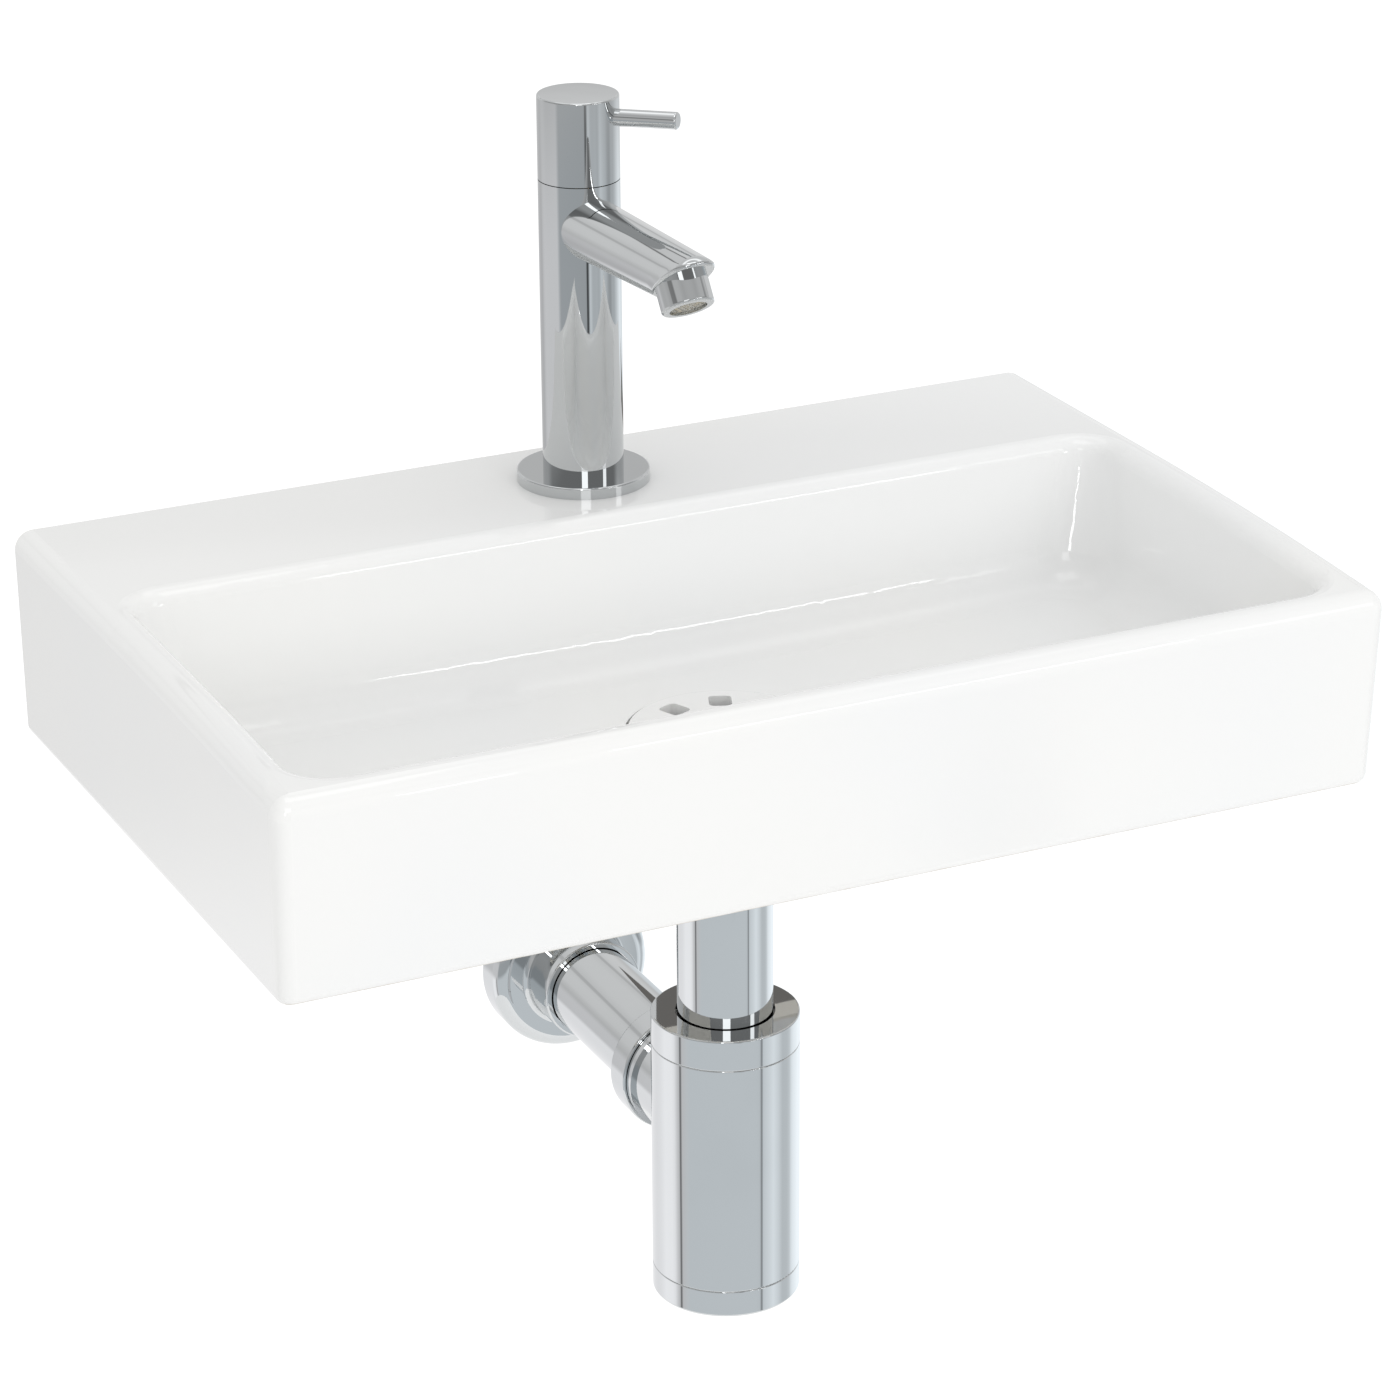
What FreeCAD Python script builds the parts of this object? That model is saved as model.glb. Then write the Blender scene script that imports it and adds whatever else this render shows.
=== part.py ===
import FreeCAD, Part
import math
import os

# Wall-hung hand basin with a single-lever tap, slotted waste and bottle trap.
# Millimetres. +Z is up, the wall is the plane Y = 0, and the basin stands out towards -Y.
# The origin lies midway between the two wall bolts. Heights below are measured from the top of the rim.

V = FreeCAD.Vector

# Shared allowances
OVER = 1.0
SLIP_GAP = 0.35
THREAD_GAP = 0.10
RUN_GAP = 0.05
SEAL_GAP = 0.05

# Basin block
BASIN_W = 380.0
BASIN_D = 240.0
SIDE_DRAFT = 0.8
FRONT_DRAFT = 4.0
FRONT_CORNER_R = 5.0
RIM_OUT_R = 6.5
FOOT_R = 3.5
WALL_EDGE_R = 1.6
BOLT_DROP = 40.0
BOLT_SPACING = 200.0
BOLT_HOLE_R = 5.5
BACK_T = 12.0
DECK_T = 12.0
FOOT_H = 8.0

# Bowl
DECK_D = 74.0
RIM_W = 12.5
BOWL_DEPTH = 52.0
BOWL_BACK_SLOPE = 9.0
BOWL_SIDE_SLOPE = 7.0
BOWL_FRONT_SLOPE = 6.0
BOWL_CORNER_R = 11.5
BOWL_FOOT_CORNER_R = 29.0
BOWL_FLOOR_R = 16.0
BOWL_RIM_R = 6.0
RIM_FALL = 4.5
RIM_FALL_FROM = 92.0
FLOOR_R = 6000.0

# Hollows under the deck and under the bowl
REAR_WALL_T = 14.0
SKIRT_T = 18.0
HOLLOW_R = 6.0
HOLLOW_ROOF_R = 2.0
UNDER_R = 12.0
UNDER_ROOF_R = 3.0
UNDER_INSET_X = 34.0
UNDER_INSET_BACK = 18.0
UNDER_INSET_FRONT = 22.0
FLOOR_T = 12.0

# Waste seat in the floor
DRAIN_BACK = 144.3
COVER_R = 31.4
COVER_GAP = 0.9
COVER_RISE = 1.2
COVER_T = 4.0
COVER_H = 8.8
COVER_LIP_W = 3.4
COVER_EDGE_R = 1.0
SLOT_COUNT = 8
SLOT_OUT_R = 25.9
SLOT_L = 8.6
SLOT_W = 7.6
SLOT_R = 1.8
FLANGE_T = 2.0
FLANGE_INSET = 0.4
TOP_SEAL_T = 1.5
SEAT_T = 8.0
BOSS_W = 6.0

# Waste body and its nut
WASTE_TAIL_R = 20.9
WASTE_BORE_R = 17.0
WASTE_HOLE_GAP = 2.1
WASTE_TAIL_L = 34.9
LOW_SEAL_T = 3.0
LOW_WASHER_T = 1.5
LOW_NUT_T = 10.0
LOW_NUT_AF = 56.0
LOW_SEAL_W = 9.0

# Tap column, base ring and handle
TAP_R = 13.7
BASE_RING_R = 22.6
BASE_RING_H = 4.0
BASE_RING_EDGE_R = 0.6
GASKET_R = 20.6
GASKET_W = 2.8
GASKET_H = 1.8
SEAM_Z = 105.0
SEAM_GAP = 0.3
HANDLE_H = 28.4
HANDLE_EDGE_R = 0.7
HANDLE_WALL = 2.2
HANDLE_ROOM_H = 12.0

# Lever pin and set screw
LEVER_R = 2.9
LEVER_REACH = 35.2
LEVER_ROOT = 6.5
LEVER_DROP = 7.5
LEVER_TURN = 44.0
LEVER_RISE = 2.0
LEVER_END_R = 0.7
SCREW_R = 2.0
SCREW_L = 8.5
SCREW_DROP = 10.6
SCREW_HEX_AF = 2.0
SCREW_HEX_L = 2.4

# Threaded inlet tail and what clamps it to the deck
TAIL_R = 10.4
TAIL_BORE_R = 6.0
TAIL_DROP = 54.0
TAIL_PLUG_R = 9.0
TAIL_PLUG_L = 10.0
TAIL_FREE_L = 26.0
TAIL_RELIEF_L = 2.0
TAIL_RELIEF_D = 0.8
DECK_SEAL_LAP = 4.15
DECK_SEAL_T = 2.5
DECK_WASHER_T = 1.5
TAP_NUT_T = 8.0
TAP_NUT_AF = 30.0

# Valve cartridge
CART_R = 9.25
CART_SEAT_Z = 76.0
CART_SEAL_T = 2.0
CART_ROOM_R = 7.8
CART_HEAD_R = 10.8
CART_HEAD_T = 4.0
WATERWAY_R = 5.5
DISC_R = 7.4
DISC_T = 3.0
DISC_HOLE_R = 2.2
DISC_HOLE_AT = 4.2
DISC_LIFT = 0.5
SPINDLE_R = 4.0
SPINDLE_FOOT_T = 3.5
SPINDLE_GRIP_L = 9.0
THRUST_T = 2.0
RING_DEPTH = 0.9
RING_H = 1.8
RING_RISE = 6.0
PORT_R = 2.8

# Spout
SPOUT_Z = 89.7
SPOUT_RISE = 2.0
SPOUT_ROOT_R = 10.8
SPOUT_TIP_R = 9.0
SPOUT_LEN = 93.3
SPOUT_BORE_R = 5.5
SPOUT_PLUG_R = 7.4
SPOUT_END_R = 5.0
SPOUT_CUT_R = 1.0

# Aerator, on the slanted end of the spout
AERATOR_OUT = 78.4
AERATOR_DROP = -2.0
AERATOR_TILT = 35.0
AERATOR_R = 8.7
AERATOR_H = 8.8
AERATOR_EDGE_R = 0.8
AERATOR_WALL = 1.5
AERATOR_LIP = 1.0
AERATOR_NECK_R = 6.6
AERATOR_NECK_L = 4.0
AERATOR_SEAL_T = 1.2
MESH_T = 0.8
MESH_HOLE = 1.1
MESH_PITCH = 1.7

# Union between waste and inlet tube
TUBE_R = 16.0
TUBE_WALL = 1.2
UNION_SEAL_T = 2.0
UNION_BEAD_R = 20.2
UNION_BEAD_T = 2.0
UNION_NUT_R = 25.0
UNION_NUT_OVERLAP = 8.0
UNION_NUT_LIP = 3.5
UNION_NUT_EDGE_R = 1.2
TUBE_FOOT_Z = -210.0

# Bottle trap
BOTTLE_R = 24.9
BOTTLE_WALL = 2.0
BOTTLE_TOP_Z = -152.4
COLLAR_H = 10.9
COLLAR_TOP_T = 2.9
COLLAR_GAP = 0.7
COLLAR_EDGE_R = 0.6
BOTTLE_H = 82.4
BOTTLE_EDGE_R = 0.35
SHOULDER_T = 3.0
NECK_R = 22.0
NECK_H = 5.6
NECK_BORE_R = 18.5
SEAL_SEAT_R = 20.0
SEAL_SEAT_H = 4.0
SLIP_SEAL_H = 4.6
CUP_H = 9.5
CUP_EDGE_R = 0.9
CUP_PLUG_L = 9.0
CUP_FLOOR_T = 2.5
CUP_PLUG_WALL = 2.0
CUP_RING_H = 2.2
CUP_RING_DEPTH = 1.2

# Outlet, wall pipe and wall rosette
OUTLET_Z = -191.8
OUTLET_NECK_R = 19.0
OUTLET_NECK_L = 40.0
OUTLET_BEAD_R = 20.2
OUTLET_BEAD_L = 3.0
OUTLET_NUT_R = 21.4
OUTLET_NUT_L = 10.5
OUTLET_NUT_LIP = 2.6
OUTLET_NUT_EDGE_R = 0.8
OUTLET_SEAL_L = 3.4
PIPE_INSERT = 9.0
PIPE_PAST_WALL = 25.0
PIPE_MARK_L = 1.5
PIPE_MARK_D = 0.3
ROSETTE_R = 29.8
ROSETTE_OFF = 8.0
ROSETTE_FACE = 13.0
ROSETTE_WALL = 1.6
ROSETTE_EDGE_R = 5.0
ROSETTE_HUB_R = 18.2
ROSETTE_HUB_L = 17.0
ROSETTE_HUB_EDGE_R = 0.6
ROSETTE_BLEND_R = 2.0

# Heights and places that follow from the sizes above
RIM_Z = BOLT_DROP
BASIN_H = BOWL_DEPTH + FLOOR_T + FOOT_H
DECK_ROOM_D = DECK_D - REAR_WALL_T - BACK_T
TAP_BACK = BACK_T + DECK_ROOM_D / 2.0
DECK_SEAL_R = DECK_ROOM_D / 2.0 - HOLLOW_ROOF_R - SLIP_GAP
TAP_HOLE_R = DECK_SEAL_R - DECK_SEAL_LAP
FLOOR_LOW = -BOWL_DEPTH
COVER_TOP = FLOOR_LOW + COVER_RISE
COVER_FOOT = COVER_TOP - COVER_H
FLANGE_FOOT = COVER_FOOT - FLANGE_T
SEAT_TOP = FLANGE_FOOT - TOP_SEAL_T
SEAT_FOOT = SEAT_TOP - SEAT_T
SEAT_R = COVER_R + COVER_GAP
FLANGE_R = COVER_R - FLANGE_INSET
WASTE_HOLE_R = WASTE_TAIL_R + WASTE_HOLE_GAP
WASTE_TAIL_FOOT = FLANGE_FOOT - WASTE_TAIL_L
LOW_NUT_TOP = SEAT_FOOT - LOW_SEAL_T - LOW_WASHER_T
HANDLE_FOOT = SEAM_Z + SEAM_GAP
HANDLE_TOP = HANDLE_FOOT + HANDLE_H
HANDLE_ROOM_TOP = HANDLE_FOOT + HANDLE_ROOM_H
CART_FOOT = CART_SEAT_Z + CART_SEAL_T
FIXED_DISC_Z = CART_FOOT + DISC_LIFT
MOVING_DISC_Z = FIXED_DISC_Z + DISC_T
SPINDLE_FOOT = MOVING_DISC_Z + DISC_T
THRUST_Z = SPINDLE_FOOT + SPINDLE_FOOT_T
CART_ROOM_TOP = THRUST_Z + THRUST_T
SPINDLE_TOP = HANDLE_ROOM_TOP + SPINDLE_GRIP_L
SPINDLE_RING_Z = CART_ROOM_TOP + RING_RISE
UNION_BEAD_Z = WASTE_TAIL_FOOT - UNION_SEAL_T
UNION_SHELF_Z = UNION_BEAD_Z - UNION_BEAD_T
COLLAR_FOOT = BOTTLE_TOP_Z - COLLAR_H
BOTTLE_FOOT = COLLAR_FOOT - BOTTLE_H
BOTTLE_BORE_R = BOTTLE_R - BOTTLE_WALL
NECK_TOP = COLLAR_FOOT + NECK_H
SEAL_SEAT_Z = NECK_TOP - SEAL_SEAT_H
SLIP_SEAL_TOP = SEAL_SEAT_Z + SLIP_SEAL_H
COLLAR_SHELF = BOTTLE_TOP_Z - COLLAR_TOP_T
CUP_PLUG_R = BOTTLE_BORE_R - SLIP_GAP
OUTLET_SEAL_AT = OUTLET_NECK_L + OUTLET_SEAL_L
PIPE_LEN = DRAIN_BACK + PIPE_PAST_WALL - OUTLET_NECK_L + PIPE_INSERT


def cyl(radius, z0, z1):
    """Upright cylinder on the local axis."""
    return Part.makeCylinder(radius, z1 - z0, V(0, 0, z0))


def ring(outer, inner, z0, z1):
    """Upright plain ring on the local axis."""
    return cyl(outer, z0, z1).cut(cyl(inner, z0 - OVER, z1 + OVER))


def hexagon(across_flats, z0, z1):
    """Upright six-sided bar on the local axis."""
    radius = across_flats / math.sqrt(3.0)
    points = [V(radius * math.cos(math.radians(60.0 * i)), radius * math.sin(math.radians(60.0 * i)), z0)
              for i in range(6)]
    return Part.Face(Part.makePolygon(points + points[:1])).extrude(V(0, 0, z1 - z0))


def hex_nut(across_flats, bore, z0, z1):
    """Nut with both ends chamfered round the corners."""
    flat = across_flats / 2.0
    spread = 2.0 * (z1 - z0)
    lower = Part.makeCone(flat, flat + spread, spread * 0.5, V(0, 0, z0))
    upper = Part.makeCone(flat + spread, flat, spread * 0.5, V(0, 0, z1 - spread * 0.5))
    return hexagon(across_flats, z0, z1).common(lower).common(upper).cut(cyl(bore, z0 - OVER, z1 + OVER))


def is_circle(edge, radius, z):
    """Whether an edge is a level circle of this radius at this height."""
    curve = edge.Curve
    if not isinstance(curve, Part.Circle):
        return False
    return abs(curve.Radius - radius) < 1e-4 and abs(curve.Center.z - z) < 1e-4


def round_circle(shape, radius, z, fillet):
    """Rounds the level circular edges of one radius and height."""
    return shape.makeFillet(fillet, [e for e in shape.Edges if is_circle(e, radius, z)])


def round_where(shape, fillet, test):
    """Rounds every edge whose middle point passes the test."""
    picked = []
    for edge in shape.Edges:
        middle = edge.valueAt((edge.FirstParameter + edge.LastParameter) / 2.0)
        if test(middle, edge):
            picked.append(edge)
    return shape.makeFillet(fillet, picked)


def tapered_block(low, high, z0, z1):
    """Block between two level rectangles, each (x0, x1, depth0, depth1) with depth counted from the wall."""
    wedge = Part.makeWedge(low[0], z0, low[2], high[2], high[0], low[1], z1, low[3], high[3], high[1])
    wedge.rotate(V(0, 0, 0), V(1, 0, 0), 90)
    return wedge


def at_tap(shape):
    """Moves a shape from the tap's own frame to its place on the deck."""
    shape.translate(V(0, -TAP_BACK, RIM_Z))
    return shape


def at_drain(shape):
    """Moves a shape from the waste's own frame to its place under the bowl."""
    shape.translate(V(0, -DRAIN_BACK, RIM_Z))
    return shape


def to_wall(shape):
    """Turns an upright shape so that it points to the wall, at the outlet of the bottle."""
    shape.rotate(V(0, 0, 0), V(1, 0, 0), -90)
    shape.translate(V(0, 0, OUTLET_Z))
    return shape


def rounded_outline(sides, radius, z):
    """Level wire round a rectangle (x0, x1, depth0, depth1) with rounded corners."""
    x0, x1, near, far = sides[0], sides[1], -sides[2], -sides[3]
    cut = radius * (1.0 - math.sqrt(0.5))
    edges = [
        Part.makeLine(V(x0 + radius, far, z), V(x1 - radius, far, z)),
        Part.Arc(V(x1 - radius, far, z), V(x1 - cut, far + cut, z), V(x1, far + radius, z)).toShape(),
        Part.makeLine(V(x1, far + radius, z), V(x1, near - radius, z)),
        Part.Arc(V(x1, near - radius, z), V(x1 - cut, near - cut, z), V(x1 - radius, near, z)).toShape(),
        Part.makeLine(V(x1 - radius, near, z), V(x0 + radius, near, z)),
        Part.Arc(V(x0 + radius, near, z), V(x0 + cut, near - cut, z), V(x0, near - radius, z)).toShape(),
        Part.makeLine(V(x0, near - radius, z), V(x0, far + radius, z)),
        Part.Arc(V(x0, far + radius, z), V(x0 + cut, far + cut, z), V(x0 + radius, far, z)).toShape(),
    ]
    return Part.Wire(edges)


def bowl_hollow():
    """The space of the bowl, with sloping walls, corners that widen downwards and a floor that falls to the waste."""
    drop = BOWL_DEPTH + BOWL_FLOOR_R
    side = BASIN_W / 2.0 - RIM_W
    back, front = DECK_D, BASIN_D - RIM_W
    in_side = drop * math.tan(math.radians(BOWL_SIDE_SLOPE))
    in_back = drop * math.tan(math.radians(BOWL_BACK_SLOPE))
    in_front = drop * math.tan(math.radians(BOWL_FRONT_SLOPE))
    low = (-side + in_side, side - in_side, back + in_back, front - in_front)
    foot = rounded_outline(low, BOWL_FOOT_CORNER_R, -drop)
    mouth = rounded_outline((-side, side, back, front), BOWL_CORNER_R, 0.0)
    hollow = Part.makeLoft([foot, mouth], True, True)
    centre = V(0, -DRAIN_BACK, FLOOR_R - BOWL_DEPTH)
    dish = Part.makeSphere(FLOOR_R, centre)
    dish.rotate(centre, V(0, 1, 0), -90)
    hollow = hollow.common(dish)
    return round_where(hollow, BOWL_FLOOR_R, lambda m, e: m.z < -BOWL_DEPTH / 2.0 and is_floor_edge(hollow, e))


def is_floor_edge(shape, edge):
    """Whether an edge borders the dished floor."""
    for face in shape.Faces:
        if isinstance(face.Surface, Part.Sphere):
            return any(edge.isSame(other) for other in face.Edges)
    return False


def rim_fall():
    """What the rim loses towards the front, where it bends down a little."""
    run = BASIN_D - RIM_FALL_FROM
    bend_r = (run ** 2 + RIM_FALL ** 2) / (2.0 * RIM_FALL)
    wide = BASIN_W + 2.0 * OVER
    above = Part.makeBox(wide, run + OVER, 3.0 * RIM_FALL, V(-wide / 2.0, -BASIN_D - OVER, -2.0 * RIM_FALL))
    bend = Part.makeCylinder(bend_r, wide + 2.0 * OVER, V(-wide / 2.0 - OVER, -RIM_FALL_FROM, -bend_r), V(1, 0, 0))
    return above.cut(bend)


def basin_block():
    """The outer form, with a slight draft and rounded edges."""
    half = BASIN_W / 2.0
    low = (-half + SIDE_DRAFT, half - SIDE_DRAFT, 0.0, BASIN_D - FRONT_DRAFT)
    block = tapered_block(low, (-half, half, 0.0, BASIN_D), -BASIN_H, 0.0)
    block = block.cut(rim_fall())
    low_rim = -RIM_FALL - OVER
    block = round_where(block, FRONT_CORNER_R, lambda m, e: -BASIN_H + OVER < m.z < low_rim and m.y < -OVER)
    block = round_where(block, RIM_OUT_R, lambda m, e: m.z > low_rim and m.y < -OVER
                        and (abs(m.x) > half - OVER or -m.y > BASIN_D - OVER))
    block = round_where(block, FOOT_R, lambda m, e: m.z < -BASIN_H + OVER and m.y < -OVER)
    return round_where(block, WALL_EDGE_R, lambda m, e: abs(m.y) < 1e-6)


def rear_hollow():
    """The room under the deck for the tap's nut and the wall bolts, open below."""
    half = BASIN_W / 2.0 - SKIRT_T
    front = BACK_T + DECK_ROOM_D
    room = Part.makeBox(2.0 * half, DECK_ROOM_D, BASIN_H + OVER - DECK_T, V(-half, -front, -BASIN_H - OVER))
    room = round_where(room, HOLLOW_R, lambda m, e: -BASIN_H < m.z < -DECK_T - OVER)
    return round_where(room, HOLLOW_ROOF_R, lambda m, e: m.z > -DECK_T - OVER)


def under_hollow():
    """The shallow room under the bowl, open below, round the boss of the waste."""
    half = BASIN_W / 2.0 - UNDER_INSET_X
    back = DECK_D + UNDER_INSET_BACK
    front = BASIN_D - UNDER_INSET_FRONT
    top = FLOOR_LOW - FLOOR_T
    room = Part.makeBox(2.0 * half, front - back, BASIN_H + OVER + top, V(-half, -front, -BASIN_H - OVER))
    room = round_where(room, UNDER_R, lambda m, e: -BASIN_H < m.z < top - OVER)
    room = round_where(room, UNDER_ROOF_R, lambda m, e: m.z > top - OVER)
    boss = cyl(SEAT_R + BOSS_W, SEAT_FOOT, top + OVER)
    boss.translate(V(0, -DRAIN_BACK, 0))
    return room.cut(boss)


def basin():
    """The ceramic basin with its tap hole, waste seat and wall-bolt holes."""
    body = basin_block().cut(bowl_hollow())
    side = BASIN_W / 2.0 - RIM_W
    body = round_where(body, BOWL_RIM_R, lambda m, e: m.z > -RIM_FALL - OVER and abs(m.x) < side + OVER
                       and DECK_D - OVER < -m.y < BASIN_D - RIM_W + OVER)
    body = body.cut(rear_hollow()).cut(under_hollow())
    seat = cyl(SEAT_R, SEAT_TOP, FLOOR_LOW + BOWL_FLOOR_R).fuse(cyl(WASTE_HOLE_R, SEAT_FOOT - OVER, SEAT_TOP))
    seat.translate(V(0, -DRAIN_BACK, 0))
    hole = cyl(TAP_HOLE_R, -DECK_T - OVER, OVER)
    hole.translate(V(0, -TAP_BACK, 0))
    body = body.cut(seat).cut(hole)
    body.translate(V(0, 0, RIM_Z))
    for side_x in (-BOLT_SPACING / 2.0, BOLT_SPACING / 2.0):
        body = body.cut(Part.makeCylinder(BOLT_HOLE_R, BACK_T + 2.0 * OVER, V(side_x, OVER, 0), V(0, -1, 0)))
    return body


def spout_axis():
    """Unit vector along the spout, away from the column."""
    rise = math.radians(SPOUT_RISE)
    return V(0, -math.cos(rise), math.sin(rise))


def aerator_axis():
    """Unit vector along the aerator, out of its mouth."""
    tilt = math.radians(AERATOR_TILT)
    return V(0, -math.sin(tilt), -math.cos(tilt))


def aerator_root():
    """Centre of the aerator's seat on the slanted end of the spout, in the tap's frame."""
    rise = AERATOR_OUT * math.tan(math.radians(SPOUT_RISE))
    return V(0, -AERATOR_OUT, SPOUT_Z + rise + AERATOR_DROP)


def along_aerator(shape):
    """Moves an upright shape so that its +Z runs out of the aerator's mouth from the seat."""
    shape.rotate(V(0, 0, 0), V(1, 0, 0), 180.0 - AERATOR_TILT)
    shape.translate(aerator_root())
    return shape


def spout():
    """Tapering tube with a rounded end, cut slantwise for the aerator, plugged into the column."""
    axis = spout_axis()
    root = V(0, 0, SPOUT_Z)
    outer = Part.makeCone(SPOUT_ROOT_R, SPOUT_TIP_R, SPOUT_LEN, root, axis)
    end = root + axis * SPOUT_LEN
    outer = round_where(outer, SPOUT_END_R, lambda m, e: (m - end).Length < SPOUT_TIP_R + OVER)
    below = along_aerator(Part.makeBox(8 * SPOUT_TIP_R, 8 * SPOUT_TIP_R, 4 * SPOUT_TIP_R,
                                       V(-4 * SPOUT_TIP_R, -4 * SPOUT_TIP_R, 0)))
    outer = outer.cut(below)
    plane = aerator_axis()
    outer = round_where(outer, SPOUT_CUT_R, lambda m, e: abs((m - aerator_root()).dot(plane)) < 1e-4)
    outer = outer.cut(cyl(TAP_R, 0.0, SEAM_Z))
    plug = Part.makeCylinder(SPOUT_PLUG_R, TAP_R + OVER, root, axis)
    neck = along_aerator(cyl(AERATOR_NECK_R, -OVER, AERATOR_NECK_L))
    body = outer.fuse(plug).fuse(neck)
    reach = AERATOR_OUT / math.cos(math.radians(SPOUT_RISE))
    bore = Part.makeCylinder(SPOUT_BORE_R, reach, root, axis)
    mouth = along_aerator(cyl(SPOUT_BORE_R, -SPOUT_BORE_R * 0.4, AERATOR_NECK_L + OVER))
    body = body.cut(bore).cut(mouth).cut(cyl(CART_R + SEAL_GAP, 0.0, SEAM_Z))
    return at_tap(body.removeSplitter())


def aerator_housing():
    """Ring that screws on the spout's neck and holds the mesh."""
    inner = AERATOR_R - AERATOR_WALL
    body = cyl(AERATOR_R, 0.0, AERATOR_H)
    body = round_circle(body, AERATOR_R, AERATOR_H, AERATOR_EDGE_R)
    body = body.cut(cyl(AERATOR_NECK_R + SLIP_GAP, -OVER, AERATOR_NECK_L + OVER))
    body = body.cut(cyl(inner, AERATOR_NECK_L, AERATOR_H - AERATOR_LIP))
    body = body.cut(cyl(inner - AERATOR_LIP, AERATOR_H - AERATOR_LIP - OVER, AERATOR_H + OVER))
    return at_tap(along_aerator(body))


def aerator_seal():
    """Rubber ring between the spout's neck and the aerator's core."""
    low = AERATOR_NECK_L
    body = ring(AERATOR_R - AERATOR_WALL - SEAL_GAP, SPOUT_BORE_R - 0.7, low, low + AERATOR_SEAL_T)
    return at_tap(along_aerator(body))


def aerator_core():
    """Plastic core with a ring of jets under a flat disc."""
    low = AERATOR_NECK_L + AERATOR_SEAL_T
    high = AERATOR_H - AERATOR_LIP - MESH_T
    body = ring(AERATOR_R - AERATOR_WALL - SEAL_GAP, AERATOR_R - AERATOR_WALL - 1.3, low, high)
    plate = cyl(AERATOR_R - AERATOR_WALL - 0.6, low, low + 0.8)
    for i in range(12):
        jet = cyl(0.55, low - OVER, high + OVER)
        turn = math.radians(30.0 * i)
        jet.translate(V(4.6 * math.cos(turn), 4.6 * math.sin(turn), 0))
        plate = plate.cut(jet)
    return at_tap(along_aerator(body.fuse(plate)))


def aerator_mesh():
    """Wire mesh, a thin disc pierced by a square grid."""
    radius = AERATOR_R - AERATOR_WALL - SEAL_GAP
    low = AERATOR_H - AERATOR_LIP - MESH_T
    body = cyl(radius, low, low + MESH_T)
    reach = int(radius / MESH_PITCH) + 1
    holes = []
    for i in range(-reach, reach + 1):
        for j in range(-reach, reach + 1):
            if math.hypot(i * MESH_PITCH, j * MESH_PITCH) + MESH_HOLE < radius - AERATOR_LIP:
                corner = V(i * MESH_PITCH - MESH_HOLE / 2.0, j * MESH_PITCH - MESH_HOLE / 2.0, low - OVER)
                holes.append(Part.makeBox(MESH_HOLE, MESH_HOLE, MESH_T + 2.0 * OVER, corner))
    return at_tap(along_aerator(body.cut(Part.makeCompound(holes))))


def tap_base_ring():
    """Disc under the column, with a groove for the gasket."""
    body = cyl(BASE_RING_R, 0.0, BASE_RING_H)
    body = round_circle(body, BASE_RING_R, BASE_RING_H, BASE_RING_EDGE_R)
    body = body.cut(cyl(TAIL_R + THREAD_GAP, -OVER, BASE_RING_H + OVER))
    groove = ring(GASKET_R + SEAL_GAP, GASKET_R - GASKET_W - SEAL_GAP, -OVER, GASKET_H)
    return at_tap(body.cut(groove))


def base_gasket():
    """Rubber ring in the groove of the base ring."""
    return at_tap(ring(GASKET_R, GASKET_R - GASKET_W, 0.0, GASKET_H))


def tap_body():
    """Column with the valve bore above, the tail's socket below and a side hole for the spout."""
    body = cyl(TAP_R, BASE_RING_H, SEAM_Z)
    body = body.cut(cyl(CART_R + SEAL_GAP, CART_SEAT_Z, SEAM_Z + OVER))
    body = body.cut(cyl(WATERWAY_R, BASE_RING_H, CART_SEAT_Z + OVER))
    body = body.cut(cyl(TAIL_PLUG_R + SEAL_GAP, BASE_RING_H - OVER, BASE_RING_H + TAIL_PLUG_L))
    root = V(0, 0, SPOUT_Z)
    return at_tap(body.cut(Part.makeCylinder(SPOUT_PLUG_R, TAP_R + OVER, root, spout_axis())))


def inlet_tail():
    """Threaded tail from the column down through the deck."""
    body = cyl(TAIL_R, -TAIL_DROP, BASE_RING_H).fuse(cyl(TAIL_PLUG_R, BASE_RING_H, BASE_RING_H + TAIL_PLUG_L))
    free_top = TAIL_FREE_L - TAIL_DROP
    body = body.cut(ring(TAIL_R + OVER, TAIL_R - TAIL_RELIEF_D, free_top, free_top + TAIL_RELIEF_L))
    return at_tap(body.cut(cyl(TAIL_BORE_R, -TAIL_DROP - OVER, BASE_RING_H + TAIL_PLUG_L + OVER)))


def deck_seal():
    """Rubber washer under the deck."""
    return at_tap(ring(DECK_SEAL_R, TAIL_R + THREAD_GAP, -DECK_T - DECK_SEAL_T, -DECK_T))


def deck_washer():
    """Metal washer under the rubber one."""
    top = -DECK_T - DECK_SEAL_T
    return at_tap(ring(DECK_SEAL_R - OVER, TAIL_R + THREAD_GAP, top - DECK_WASHER_T, top))


def tap_backnut():
    """Hexagon nut that clamps the tap to the deck."""
    top = -DECK_T - DECK_SEAL_T - DECK_WASHER_T
    return at_tap(hex_nut(TAP_NUT_AF, TAIL_R + THREAD_GAP, top - TAP_NUT_T, top))


def lever_place(shape):
    """Moves an upright shape so that its +Z runs out along the lever from the tap's axis."""
    shape.rotate(V(0, 0, 0), V(1, 0, 0), 90.0 - LEVER_RISE)
    shape.rotate(V(0, 0, 0), V(0, 0, 1), LEVER_TURN)
    shape.translate(V(0, 0, HANDLE_TOP - LEVER_DROP))
    return shape


def screw_place(shape):
    """Moves an upright shape so that its +Z runs in from the handle's side, opposite the lever."""
    shape.rotate(V(0, 0, 0), V(1, 0, 0), 90.0)
    shape.translate(V(0, TAP_R, 0))
    shape.rotate(V(0, 0, 0), V(0, 0, 1), LEVER_TURN)
    shape.translate(V(0, 0, HANDLE_TOP - SCREW_DROP))
    return shape


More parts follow.
